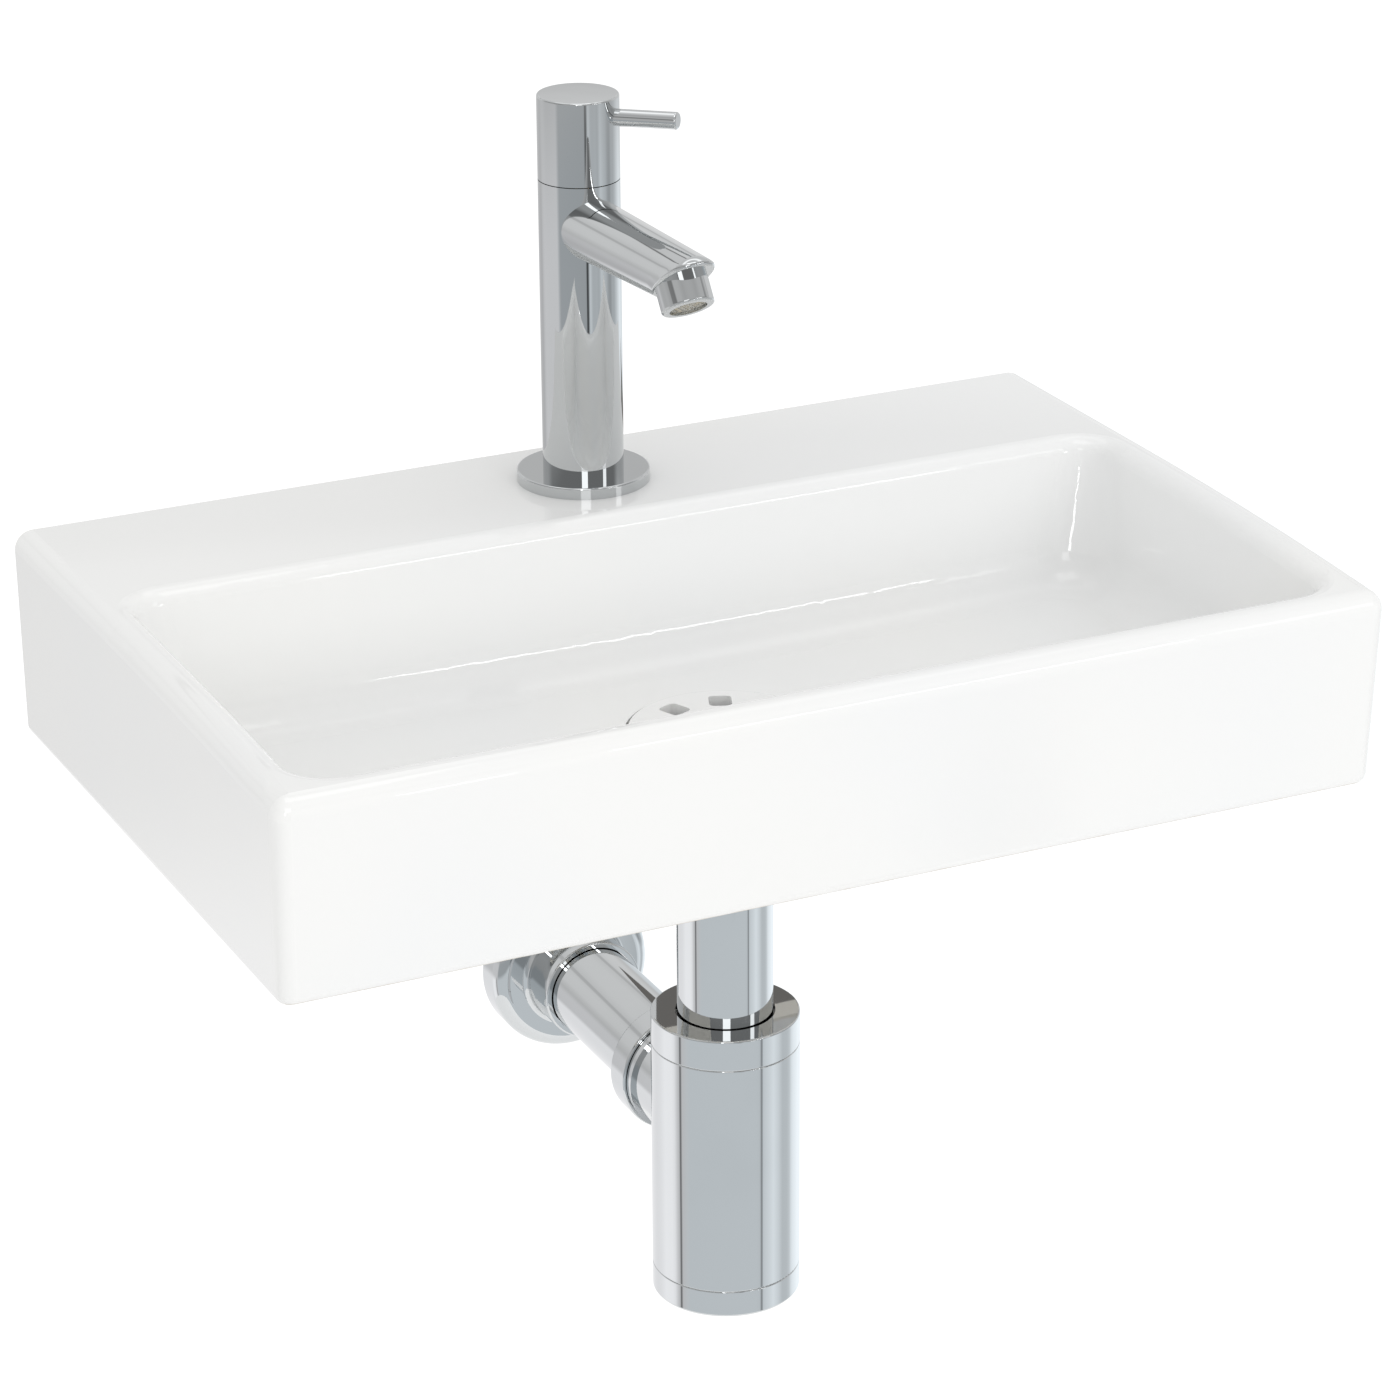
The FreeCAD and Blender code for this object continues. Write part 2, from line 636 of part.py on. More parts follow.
def handle():
    """Cap over the valve, with a socket on the spindle and bores for the lever and the set screw."""
    body = cyl(TAP_R, HANDLE_FOOT, HANDLE_TOP)
    body = round_circle(body, TAP_R, HANDLE_TOP, HANDLE_EDGE_R)
    body = body.cut(cyl(TAP_R - HANDLE_WALL, HANDLE_FOOT - OVER, HANDLE_ROOM_TOP))
    body = body.cut(cyl(SPINDLE_R, HANDLE_FOOT, SPINDLE_TOP))
    body = body.cut(lever_place(cyl(LEVER_R, LEVER_ROOT, TAP_R + OVER)))
    return at_tap(body.cut(screw_place(cyl(SCREW_R, -OVER, TAP_R - SPINDLE_R + OVER))))


def lever():
    """Thin round pin."""
    body = cyl(LEVER_R, LEVER_ROOT, LEVER_REACH)
    body = round_circle(body, LEVER_R, LEVER_REACH, LEVER_END_R)
    return at_tap(lever_place(body))


def handle_screw():
    """Set screw with a hexagon socket, tight on the spindle."""
    tip = TAP_R - SPINDLE_R
    body = cyl(SCREW_R, tip - SCREW_L, tip)
    body = body.cut(hexagon(SCREW_HEX_AF, tip - SCREW_L - OVER, tip - SCREW_L + SCREW_HEX_L))
    body = screw_place(body).cut(cyl(SPINDLE_R, HANDLE_FOOT, SPINDLE_TOP))
    return at_tap(body)


def cartridge_body():
    """Brass shell of the valve, with a head above the column and a port towards the spout."""
    body = cyl(CART_R, CART_FOOT, SEAM_Z).fuse(hexagon_head())
    body = body.cut(cyl(CART_ROOM_R, CART_FOOT - OVER, CART_ROOM_TOP))
    body = body.cut(cyl(SPINDLE_R + RUN_GAP, CART_ROOM_TOP - OVER, SEAM_Z + CART_HEAD_T + OVER))
    port = Part.makeCylinder(PORT_R, CART_R + OVER, V(0, 0, SPINDLE_FOOT + PORT_R * 0.5), V(0, -1, 0))
    return at_tap(body.cut(port).removeSplitter())


def hexagon_head():
    """Spanner head of the valve, resting on the top of the column."""
    return hexagon(CART_HEAD_R * math.sqrt(3.0), SEAM_Z, SEAM_Z + CART_HEAD_T)


def cartridge_seal():
    """Rubber ring under the valve."""
    return at_tap(ring(CART_R - SEAL_GAP, WATERWAY_R + SEAL_GAP, CART_SEAT_Z, CART_FOOT))


def pierced_disc(radius, z0, turn):
    """Ceramic disc with two ports."""
    body = cyl(radius, z0, z0 + DISC_T)
    for sign in (-1.0, 1.0):
        port = cyl(DISC_HOLE_R, z0 - OVER, z0 + DISC_T + OVER)
        angle = math.radians(turn)
        port.translate(V(sign * DISC_HOLE_AT * math.cos(angle), sign * DISC_HOLE_AT * math.sin(angle), 0))
        body = body.cut(port)
    return body


def fixed_disc():
    """Lower ceramic disc, held in the valve's shell."""
    return at_tap(pierced_disc(CART_ROOM_R - SEAL_GAP, FIXED_DISC_Z, 0.0))


def moving_disc():
    """Upper ceramic disc, turned by the spindle."""
    return at_tap(pierced_disc(DISC_R, MOVING_DISC_Z, LEVER_TURN))


def spindle():
    """Stem that carries the handle's turn to the moving disc."""
    body = cyl(DISC_R, SPINDLE_FOOT, THRUST_Z).fuse(cyl(SPINDLE_R, THRUST_Z, SPINDLE_TOP))
    groove = ring(SPINDLE_R + OVER, SPINDLE_R - RING_DEPTH, SPINDLE_RING_Z, SPINDLE_RING_Z + RING_H)
    return at_tap(body.cut(groove))


def spindle_ring():
    """Rubber ring in the groove of the spindle."""
    return at_tap(ring(SPINDLE_R, SPINDLE_R - RING_DEPTH, SPINDLE_RING_Z, SPINDLE_RING_Z + RING_H))


def thrust_washer():
    """Washer between the spindle's foot and the roof of the valve."""
    return at_tap(ring(DISC_R, SPINDLE_R + SEAL_GAP, THRUST_Z, CART_ROOM_TOP))


def slot_cutter(turn):
    """One rounded slot of the waste cover."""
    low = COVER_FOOT - OVER
    box = Part.makeBox(SLOT_W, SLOT_L, COVER_H + 2.0 * OVER, V(-SLOT_W / 2.0, SLOT_OUT_R - SLOT_L, low))
    box = round_where(box, SLOT_R, lambda m, e: COVER_FOOT < m.z < COVER_TOP)
    box.rotate(V(0, 0, 0), V(0, 0, 1), turn)
    return box


def waste_cover():
    """Slotted ceramic disc with a lip round its edge that stands on the waste's flange."""
    body = cyl(COVER_R, COVER_FOOT, COVER_TOP)
    body = round_circle(body, COVER_R, COVER_TOP, COVER_EDGE_R)
    body = body.cut(cyl(COVER_R - COVER_LIP_W, COVER_FOOT - OVER, COVER_TOP - COVER_T))
    step = 360.0 / SLOT_COUNT
    for i in range(SLOT_COUNT):
        body = body.cut(slot_cutter(step * (i + 0.5)))
    return at_drain(body)


def waste_body():
    """Flange in the floor seat and threaded tail through the basin."""
    body = cyl(FLANGE_R, FLANGE_FOOT, COVER_FOOT).fuse(cyl(WASTE_TAIL_R, WASTE_TAIL_FOOT, FLANGE_FOOT))
    return at_drain(body.cut(cyl(WASTE_BORE_R, WASTE_TAIL_FOOT - OVER, COVER_FOOT + OVER)).removeSplitter())


def waste_top_seal():
    """Rubber ring between the flange and the seat."""
    return at_drain(ring(FLANGE_R, WASTE_TAIL_R + SEAL_GAP, SEAT_TOP, FLANGE_FOOT))


def waste_low_seal():
    """Rubber washer under the basin's boss."""
    outer = WASTE_HOLE_R + LOW_SEAL_W
    return at_drain(ring(outer, WASTE_TAIL_R + THREAD_GAP, SEAT_FOOT - LOW_SEAL_T, SEAT_FOOT))


def waste_washer():
    """Slip washer under the rubber one."""
    top = SEAT_FOOT - LOW_SEAL_T
    return at_drain(ring(WASTE_HOLE_R + LOW_SEAL_W - OVER, WASTE_TAIL_R + THREAD_GAP, LOW_NUT_TOP, top))


def waste_backnut():
    """Hexagon nut that clamps the waste to the basin."""
    return at_drain(hex_nut(LOW_NUT_AF, WASTE_TAIL_R + THREAD_GAP, LOW_NUT_TOP - LOW_NUT_T, LOW_NUT_TOP))


def union_nut():
    """Round nut that pulls the inlet tube's bead against the waste's tail."""
    low, high = UNION_SHELF_Z - UNION_NUT_LIP, WASTE_TAIL_FOOT + UNION_NUT_OVERLAP
    body = cyl(UNION_NUT_R, low, high)
    body = round_circle(body, UNION_NUT_R, low, UNION_NUT_EDGE_R)
    body = round_circle(body, UNION_NUT_R, high, UNION_NUT_EDGE_R)
    body = body.cut(cyl(WASTE_TAIL_R + THREAD_GAP, UNION_SHELF_Z, high + OVER))
    return at_drain(body.cut(cyl(TUBE_R + SLIP_GAP, low - OVER, UNION_SHELF_Z + OVER)))


def union_seal():
    """Rubber ring between the waste's tail and the tube's bead."""
    return at_drain(ring(UNION_BEAD_R, TUBE_R - TUBE_WALL, UNION_BEAD_Z, WASTE_TAIL_FOOT))


def inlet_tube():
    """Tube from the waste into the bottle, with a bead at its top."""
    body = cyl(TUBE_R, TUBE_FOOT_Z, UNION_BEAD_Z).fuse(cyl(UNION_BEAD_R, UNION_SHELF_Z, UNION_BEAD_Z))
    return at_drain(body.cut(cyl(TUBE_R - TUBE_WALL, TUBE_FOOT_Z - OVER, UNION_BEAD_Z + OVER)).removeSplitter())


def trap_collar():
    """Top ring of the bottle, screwed over its neck and open round the tube."""
    body = cyl(BOTTLE_R, COLLAR_FOOT, BOTTLE_TOP_Z)
    body = round_circle(body, BOTTLE_R, BOTTLE_TOP_Z, COLLAR_EDGE_R)
    body = round_circle(body, BOTTLE_R, COLLAR_FOOT, BOTTLE_EDGE_R)
    body = body.cut(cyl(NECK_R + THREAD_GAP, COLLAR_FOOT - OVER, COLLAR_SHELF))
    body = body.cut(cyl(TUBE_R + COLLAR_GAP, COLLAR_SHELF - OVER, BOTTLE_TOP_Z + OVER))
    return at_drain(body)


def slip_ring():
    """Plastic ring between the collar and the rubber seal."""
    return at_drain(ring(NECK_R - SLIP_GAP, TUBE_R + SLIP_GAP, SLIP_SEAL_TOP, COLLAR_SHELF))


def slip_seal():
    """Rubber ring that seals the tube in the bottle's neck."""
    return at_drain(ring(SEAL_SEAT_R - SEAL_GAP, TUBE_R, SEAL_SEAT_Z, SLIP_SEAL_TOP))


def trap_bottle():
    """Sleeve with a shoulder and neck above and the outlet's neck at its side."""
    body = cyl(BOTTLE_R, BOTTLE_FOOT, COLLAR_FOOT)
    body = round_circle(body, BOTTLE_R, COLLAR_FOOT, BOTTLE_EDGE_R)
    body = round_circle(body, BOTTLE_R, BOTTLE_FOOT, BOTTLE_EDGE_R)
    body = body.fuse(cyl(NECK_R, COLLAR_FOOT - OVER, NECK_TOP))
    outlet = cyl(OUTLET_NECK_R, 0.0, OUTLET_NECK_L)
    bead_at = OUTLET_SEAL_AT + OUTLET_NUT_LIP - OUTLET_NUT_L - OUTLET_BEAD_L - SLIP_GAP
    outlet = outlet.fuse(cyl(OUTLET_BEAD_R, bead_at, bead_at + OUTLET_BEAD_L))
    body = body.fuse(to_wall(outlet))
    body = body.cut(cyl(BOTTLE_BORE_R, BOTTLE_FOOT - OVER, COLLAR_FOOT - SHOULDER_T))
    body = body.cut(cyl(NECK_BORE_R, COLLAR_FOOT - SHOULDER_T - OVER, NECK_TOP + OVER))
    body = body.cut(cyl(SEAL_SEAT_R, SEAL_SEAT_Z, NECK_TOP + OVER))
    socket = cyl(TUBE_R + SEAL_GAP, OUTLET_NECK_L - PIPE_INSERT, OUTLET_NECK_L + OVER)
    socket = socket.fuse(cyl(TUBE_R - TUBE_WALL, 0.0, OUTLET_NECK_L))
    return at_drain(body.cut(to_wall(socket)).removeSplitter())


def trap_cup():
    """Bottom cap of the bottle, with a plug that carries the sealing ring."""
    low = BOTTLE_FOOT - CUP_H
    body = cyl(BOTTLE_R, low, BOTTLE_FOOT)
    body = round_circle(body, BOTTLE_R, low, CUP_EDGE_R)
    body = round_circle(body, BOTTLE_R, BOTTLE_FOOT, BOTTLE_EDGE_R)
    body = body.fuse(cyl(CUP_PLUG_R, BOTTLE_FOOT - OVER, BOTTLE_FOOT + CUP_PLUG_L))
    body = body.cut(cyl(CUP_PLUG_R - CUP_PLUG_WALL - CUP_RING_DEPTH, low + CUP_FLOOR_T, BOTTLE_FOOT + CUP_PLUG_L + OVER))
    low_ring = BOTTLE_FOOT + (CUP_PLUG_L - CUP_RING_H) / 2.0
    groove = ring(CUP_PLUG_R + OVER, CUP_PLUG_R - CUP_RING_DEPTH, low_ring, low_ring + CUP_RING_H)
    return at_drain(body.cut(groove).removeSplitter())


def cup_ring():
    """Rubber ring in the groove of the cup's plug."""
    low = BOTTLE_FOOT + (CUP_PLUG_L - CUP_RING_H) / 2.0
    return at_drain(ring(CUP_PLUG_R, CUP_PLUG_R - CUP_RING_DEPTH, low, low + CUP_RING_H))


def outlet_nut():
    """Round nut that clamps the wall pipe in the bottle's outlet."""
    high = OUTLET_SEAL_AT + OUTLET_NUT_LIP
    low = high - OUTLET_NUT_L
    body = cyl(OUTLET_NUT_R, low, high)
    body = round_circle(body, OUTLET_NUT_R, high, OUTLET_NUT_EDGE_R)
    body = round_circle(body, OUTLET_NUT_R, low, OUTLET_NUT_EDGE_R)
    body = body.cut(cyl(OUTLET_NECK_R + THREAD_GAP, low - OVER, OUTLET_SEAL_AT))
    body = body.cut(cyl(TUBE_R + SLIP_GAP, OUTLET_SEAL_AT - OVER, high + OVER))
    return at_drain(to_wall(body))


def outlet_seal():
    """Rubber ring between the outlet's neck and its nut."""
    return at_drain(to_wall(ring(OUTLET_NECK_R, TUBE_R, OUTLET_NECK_L, OUTLET_SEAL_AT)))


def wall_pipe():
    """Pipe from the bottle into the wall, with a shallow depth mark where it meets the wall."""
    start = OUTLET_NECK_L - PIPE_INSERT
    body = ring(TUBE_R, TUBE_R - TUBE_WALL, start, start + PIPE_LEN)
    mark = ring(TUBE_R + OVER, TUBE_R - PIPE_MARK_D, DRAIN_BACK - PIPE_MARK_L, DRAIN_BACK)
    return at_drain(to_wall(body.cut(mark)))


def wall_rosette():
    """Thin dish near the wall, with a short hub round the pipe."""
    back = DRAIN_BACK - ROSETTE_OFF
    face = back - ROSETTE_FACE
    hub_end = face - ROSETTE_HUB_L
    body = cyl(ROSETTE_R, face, back)
    body = round_circle(body, ROSETTE_R, face, ROSETTE_EDGE_R)
    body = body.fuse(cyl(ROSETTE_HUB_R, hub_end, face + ROSETTE_WALL))
    body = round_circle(body, ROSETTE_HUB_R, hub_end, ROSETTE_HUB_EDGE_R)
    body = round_circle(body, ROSETTE_HUB_R, face, ROSETTE_BLEND_R)
    room = cyl(ROSETTE_R - ROSETTE_WALL, face + ROSETTE_WALL, back + OVER)
    room = round_circle(room, ROSETTE_R - ROSETTE_WALL, face + ROSETTE_WALL, ROSETTE_EDGE_R - ROSETTE_WALL)
    body = body.cut(room).cut(cyl(TUBE_R + SLIP_GAP, hub_end - OVER, back + OVER))
    return at_drain(to_wall(body))


PIECES = [
    basin, tap_base_ring, base_gasket, tap_body, inlet_tail, deck_seal, deck_washer, tap_backnut,
    spout, aerator_housing, aerator_seal, aerator_core, aerator_mesh,
    handle, lever, handle_screw, spindle, spindle_ring, thrust_washer, moving_disc,
    cartridge_body, cartridge_seal, fixed_disc,
    waste_cover, waste_body, waste_top_seal, waste_low_seal, waste_washer, waste_backnut,
    union_nut, union_seal, inlet_tube, trap_collar, slip_ring, slip_seal, trap_bottle, trap_cup, cup_ring,
    outlet_nut, outlet_seal, wall_pipe, wall_rosette,
]


def main():
    """Builds every piece and writes one file for each."""
    os.makedirs("parts", exist_ok=True)
    for make in PIECES:
        shape = make()
        shape.exportStep("parts/" + make.__name__ + ".step")
        box = shape.BoundBox
        print(make.__name__, shape.isValid(), len(shape.Solids), round(shape.Volume, 1),
              [round(v, 2) for v in (box.XMin, box.XMax, box.YMin, box.YMax, box.ZMin, box.ZMax)])


main()
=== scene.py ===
"""Looks of a wall-hung hand basin with a tap, a slotted waste and a bottle trap.

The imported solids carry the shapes. Here each of them gets its finish, the threads, grips and wires that the
solids leave plain are added, and a plain studio and the camera are set up. Lengths are in metres.
"""
import logging
import math
from collections.abc import Iterable, Mapping, Sequence
from dataclasses import dataclass, field
from enum import Enum
from typing import Any, Union

import bmesh
import bpy
from mathutils import Matrix, Quaternion, Vector


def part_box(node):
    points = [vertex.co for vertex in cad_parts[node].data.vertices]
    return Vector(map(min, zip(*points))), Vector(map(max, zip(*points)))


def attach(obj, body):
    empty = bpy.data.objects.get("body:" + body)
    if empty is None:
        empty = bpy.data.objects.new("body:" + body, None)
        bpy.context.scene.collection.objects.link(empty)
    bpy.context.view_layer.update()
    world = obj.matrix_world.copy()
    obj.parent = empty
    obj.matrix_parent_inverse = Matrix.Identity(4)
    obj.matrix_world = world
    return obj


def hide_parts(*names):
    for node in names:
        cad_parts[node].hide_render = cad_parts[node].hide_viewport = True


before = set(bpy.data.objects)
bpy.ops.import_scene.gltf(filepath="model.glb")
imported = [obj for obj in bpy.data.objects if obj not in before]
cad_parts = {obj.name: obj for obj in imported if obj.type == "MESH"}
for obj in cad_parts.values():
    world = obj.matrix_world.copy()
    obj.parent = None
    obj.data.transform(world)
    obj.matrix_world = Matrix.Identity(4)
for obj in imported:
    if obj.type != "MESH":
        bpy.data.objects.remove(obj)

LOG = logging.getLogger("basin")
MM = 0.001
MERGE_DISTANCE = 0.000005
SHARP_EDGE = math.radians(32.0)
HALF_TURN = 180.0

Colour = tuple[float, float, float]
Triple = tuple[float, float, float]
Step = tuple[float, float]
Stops = Sequence[tuple[float, Union[float, Colour]]]
Operand = Union[float, "Sock"]

BLACK: Colour = (0.0, 0.0, 0.0)
EVEN: Triple = (1.0, 1.0, 1.0)
UP: Triple = (0.0, 0.0, 1.0)


class Slot(Enum):
    """The record's material slots."""

    CERAMIC = "ceramic"
    CHROME = "chrome"
    BRASS = "brass"
    RUBBER = "rubber"
    DISC = "disc"
    STEEL = "steel"
    PLASTIC = "plastic"
    MESH = "mesh"


class Body(Enum):
    """The bodies that the added pieces ride on."""

    BASIN_SET = "basin_set"
    AERATOR = "aerator"


Dressing = tuple[tuple[Slot, tuple[str, ...]], ...]


@dataclass(frozen=True)
class Grain:
    """A noise pattern: features per metre, finer octaves, and how much closer they lie along each axis."""

    scale: float
    detail: float = 2.0
    stretch: Triple = EVEN


class Sock:
    """A shader socket that takes part in Python arithmetic."""

    def __init__(self, shader: "Shader", socket: bpy.types.NodeSocket) -> None:
        """Wraps one output socket of a shader's node."""
        self.shader = shader
        self.socket = socket

    def _math(self, operation: str, first: Operand, second: Operand) -> "Sock":
        """Adds one Math node."""
        return self.shader.node("ShaderNodeMath", {"operation": operation}, {0: first, 1: second})

    def __add__(self, other: Operand) -> "Sock":
        """Sum."""
        return self._math("ADD", self, other)

    def __radd__(self, other: Operand) -> "Sock":
        """Sum with a number on the left."""
        return self._math("ADD", other, self)

    def __sub__(self, other: Operand) -> "Sock":
        """Difference."""
        return self._math("SUBTRACT", self, other)

    def __rsub__(self, other: Operand) -> "Sock":
        """Difference with a number on the left."""
        return self._math("SUBTRACT", other, self)

    def __mul__(self, other: Operand) -> "Sock":
        """Product."""
        return self._math("MULTIPLY", self, other)

    def __rmul__(self, other: Operand) -> "Sock":
        """Product with a number on the left."""
        return self._math("MULTIPLY", other, self)

    def __truediv__(self, other: Operand) -> "Sock":
        """Quotient."""
        return self._math("DIVIDE", self, other)

    def __rtruediv__(self, other: Operand) -> "Sock":
        """Quotient with a number on the left."""
        return self._math("DIVIDE", other, self)

    def most(self, other: Operand) -> "Sock":
        """The larger of two values."""
        return self._math("MAXIMUM", self, other)

    def size(self) -> "Sock":
        """This value without its sign."""
        return self._math("ABSOLUTE", self, 0.0)

    def wave(self, turns_per_metre: float) -> "Sock":
        """A wave from 0 to 1 along this value, for lathe rings."""
        return self._math("SINE", self * (turns_per_metre * math.tau), 0.0) * 0.5 + 0.5

    def bearing(self, ahead: "Sock") -> "Sock":
        """The angle, in radians, of a place this far to the side and so far ahead."""
        return self._math("ARCTAN2", self, ahead)

    def rise(self, low: float, high: float) -> "Sock":
        """A smooth step from 0 below low to 1 above high.

        Args:
            low: Value at which the step starts.
            high: Value at which the step ends.

        Returns:
            The step, from 0 to 1.
        """
        return self.shader.node("ShaderNodeMapRange", {"interpolation_type": "SMOOTHSTEP"},
                                {"Value": self, "From Min": low, "From Max": high})


class Shader:
    """The node tree of one material or world, with one method that makes any node."""

    def __init__(self, tree: bpy.types.NodeTree) -> None:
        """Empties the tree and keeps it."""
        self.tree = tree
        tree.nodes.clear()

    def node(self, kind: str, settings: Mapping[str, Any] | None = None,
             inputs: Mapping[str | int, Any] | None = None, output: str | int = 0) -> Sock | None:
        """Makes one node.

        Args:
            kind: The node's type.
            settings: Properties to set first; "stops" fills a colour ramp.
            inputs: Values or sockets for its inputs.
            output: Which output to return.

        Returns:
            The wanted output, or None for a node without outputs.
        """
        made = self.tree.nodes.new(kind)
        for key, value in (settings or {}).items():
            if key == "stops":
                self._fill_ramp(made.color_ramp, value)
            else:
                setattr(made, key, value)
        for key, value in (inputs or {}).items():
            if isinstance(value, Sock):
                self.tree.links.new(value.socket, made.inputs[key])
            else:
                made.inputs[key].default_value = value
        return Sock(self, made.outputs[output]) if made.outputs else None

    @staticmethod
    def _fill_ramp(ramp: bpy.types.ColorRamp, stops: Stops) -> None:
        """Gives a colour ramp its stops.

        Args:
            ramp: The ramp to fill.
            stops: Places from 0 to 1, each with a grey or a colour.
        """
        while len(ramp.elements) < len(stops):
            ramp.elements.new(1.0)
        for element, (position, tone) in zip(ramp.elements, stops):
            element.position = position
            element.color = (*(tone if isinstance(tone, tuple) else (tone, tone, tone)), 1.0)

    def place(self) -> Sock:
        """Object coordinates."""
        return self.node("ShaderNodeTexCoord", output="Object")

    def split(self, vector: Sock) -> tuple[Sock, Sock, Sock]:
        """Takes a vector apart.

        Args:
            vector: The vector's socket.

        Returns:
            Its three parts.
        """
        first = self.node("ShaderNodeSeparateXYZ", None, {0: vector})
        outputs = first.socket.node.outputs
        return first, Sock(self, outputs[1]), Sock(self, outputs[2])

    def noise(self, grain: Grain) -> Sock:
        """Noise on object coordinates.

        Args:
            grain: The pattern.

        Returns:
            A value round 0.5.
        """
        where = self.place()
        if grain.stretch != EVEN:
            where = self.node("ShaderNodeMapping", None, {"Vector": where, "Scale": grain.stretch})
        return self.node("ShaderNodeTexNoise", None,
                         {"Vector": where, "Scale": grain.scale, "Detail": grain.detail})

    def specks(self, scale: float) -> Sock:
        """Distance to the nearest of many scattered points."""
        return self.node("ShaderNodeTexVoronoi", None, {"Vector": self.place(), "Scale": scale})

    def mix(self, factor: Operand, first: Any, second: Any, blend: str = "MIX") -> Sock:
        """Blends two colours.

        Args:
            factor: 0 for the first colour, 1 for the blend with the second.
            first: Colour or socket.
            second: Colour or socket.
            blend: How the second goes over the first.

        Returns:
            The blended colour.
        """
        inputs = {0: factor, 6: first if isinstance(first, Sock) else (*first, 1.0),
                  7: second if isinstance(second, Sock) else (*second, 1.0)}
        return self.node("ShaderNodeMix", {"data_type": "RGBA", "blend_type": blend}, inputs, 2)

    def bump(self, height: Sock, depth: float) -> Sock:
        """A bumped normal.

        Args:
            height: Relief from 0 to 1.
            depth: How deep the relief is.

        Returns:
            The normal.
        """
        return self.node("ShaderNodeBump", None, {"Strength": 1.0, "Distance": depth, "Height": height})


def tinted(colour: Colour, tint: Colour) -> Colour:
    """A colour times a tint."""
    return tuple(part * share for part, share in zip(colour, tint))


@dataclass(frozen=True)
class Finish:
    """A surface that can make its own material."""

    name: str
    colour: Colour
    roughness: float

    def paint(self, shader: Shader) -> dict[str, Any]:
        """The values and links of the surface's sockets."""
        raise NotImplementedError

    def material(self) -> bpy.types.Material:
        """Makes the material.

        Returns:
            The new material, named like the finish.
        """
        made = bpy.data.materials.new(self.name)
        made.use_nodes = True
        shader = Shader(made.node_tree)
        surface = shader.node("ShaderNodeBsdfPrincipled", None, self.paint(shader))
        shader.node("ShaderNodeOutputMaterial", None, {"Surface": surface})
        return made


@dataclass(frozen=True)
class Glaze(Finish):
    """White glaze over vitreous china, left off at the wall face and under the foot."""

    cool_tint: Colour = (0.985, 0.99, 1.0)
    tone: Grain = Grain(9.0, 1.0)
    tone_step: Step = (0.35, 0.65)
    gloss: Grain = Grain(22.0)
    gloss_spread: float = 0.05
    coat_roughness: float = 0.035
    coat_ior: float = 1.52
    ripple: Grain = Grain(38.0, 1.0)
    ripple_depth: float = 0.00012
    biscuit: Colour = (0.80, 0.765, 0.70)
    biscuit_shade: Colour = (0.93, 0.93, 0.93)
    biscuit_grain: Grain = Grain(1400.0, 4.0)
    biscuit_relief: float = 0.3
    biscuit_roughness: float = 0.4
    edge: Grain = Grain(160.0, 3.0)
    edge_wander: float = 0.0012
    wall_step: Step = (-0.0010, -0.0004)
    foot_step: Step = (-0.0320, -0.0312)

    def paint(self, shader: Shader) -> dict[str, Any]:
        """Softly rippled glaze, with bare biscuit where the basin stood in the kiln.

        Args:
            shader: Takes the nodes.

        Returns:
            Values and links of the surface's sockets.
        """
        _, y, z = shader.split(shader.place())
        edge = shader.noise(self.edge) * self.edge_wander
        bare = (y + edge).rise(*self.wall_step)
        bare = bare.most(1.0 - (z - edge).rise(*self.foot_step))
        cooler = tinted(self.colour, self.cool_tint)
        glazed = shader.mix(shader.noise(self.tone).rise(*self.tone_step), self.colour, cooler)
        grain = shader.noise(self.biscuit_grain)
        raw = shader.mix(grain, tinted(self.biscuit, self.biscuit_shade), self.biscuit)
        gloss = shader.noise(self.gloss) * self.gloss_spread
        relief = shader.noise(self.ripple) + bare * grain * self.biscuit_relief
        return {
            "Base Color": shader.mix(bare, glazed, raw),
            "Roughness": self.roughness + gloss + bare * self.biscuit_roughness,
            "Specular IOR Level": 0.0,
            "Coat Weight": 1.0 - bare,
            "Coat Roughness": self.coat_roughness,
            "Coat IOR": self.coat_ior,
            "Normal": shader.bump(relief, self.ripple_depth),
        }


@dataclass(frozen=True)
class Chrome(Finish):
    """Polished chrome plate with the faintest smear of handling."""

    smear: float = 0.05
    cloud: Grain = Grain(26.0, 4.0)
    cloud_step: Step = (0.5, 0.78)
    cloud_share: float = 0.7
    streak: Grain = Grain(150.0, 3.0, (1.0, 1.0, 0.12))
    streak_step: Step = (0.55, 0.8)
    streak_share: float = 0.3
    dulling: Colour = (0.96, 0.96, 0.96)
    dulled_share: float = 0.6
    ripple: Grain = Grain(60.0, 1.0)
    ripple_depth: float = 0.00001

    def paint(self, shader: Shader) -> dict[str, Any]:
        """A mirror whose gloss varies a little from place to place.

        Args:
            shader: Takes the nodes.

        Returns:
            Values and links of the surface's sockets.
        """
        cloud = shader.noise(self.cloud).rise(*self.cloud_step)
        streak = shader.noise(self.streak).rise(*self.streak_step)
        smeared = cloud * self.cloud_share + streak * self.streak_share
        dulled = tinted(self.colour, self.dulling)
        return {
            "Base Color": shader.mix(cloud * self.dulled_share, self.colour, dulled),
            "Metallic": 1.0,
            "Roughness": self.roughness + smeared * self.smear,
            "Normal": shader.bump(shader.noise(self.ripple), self.ripple_depth),
        }


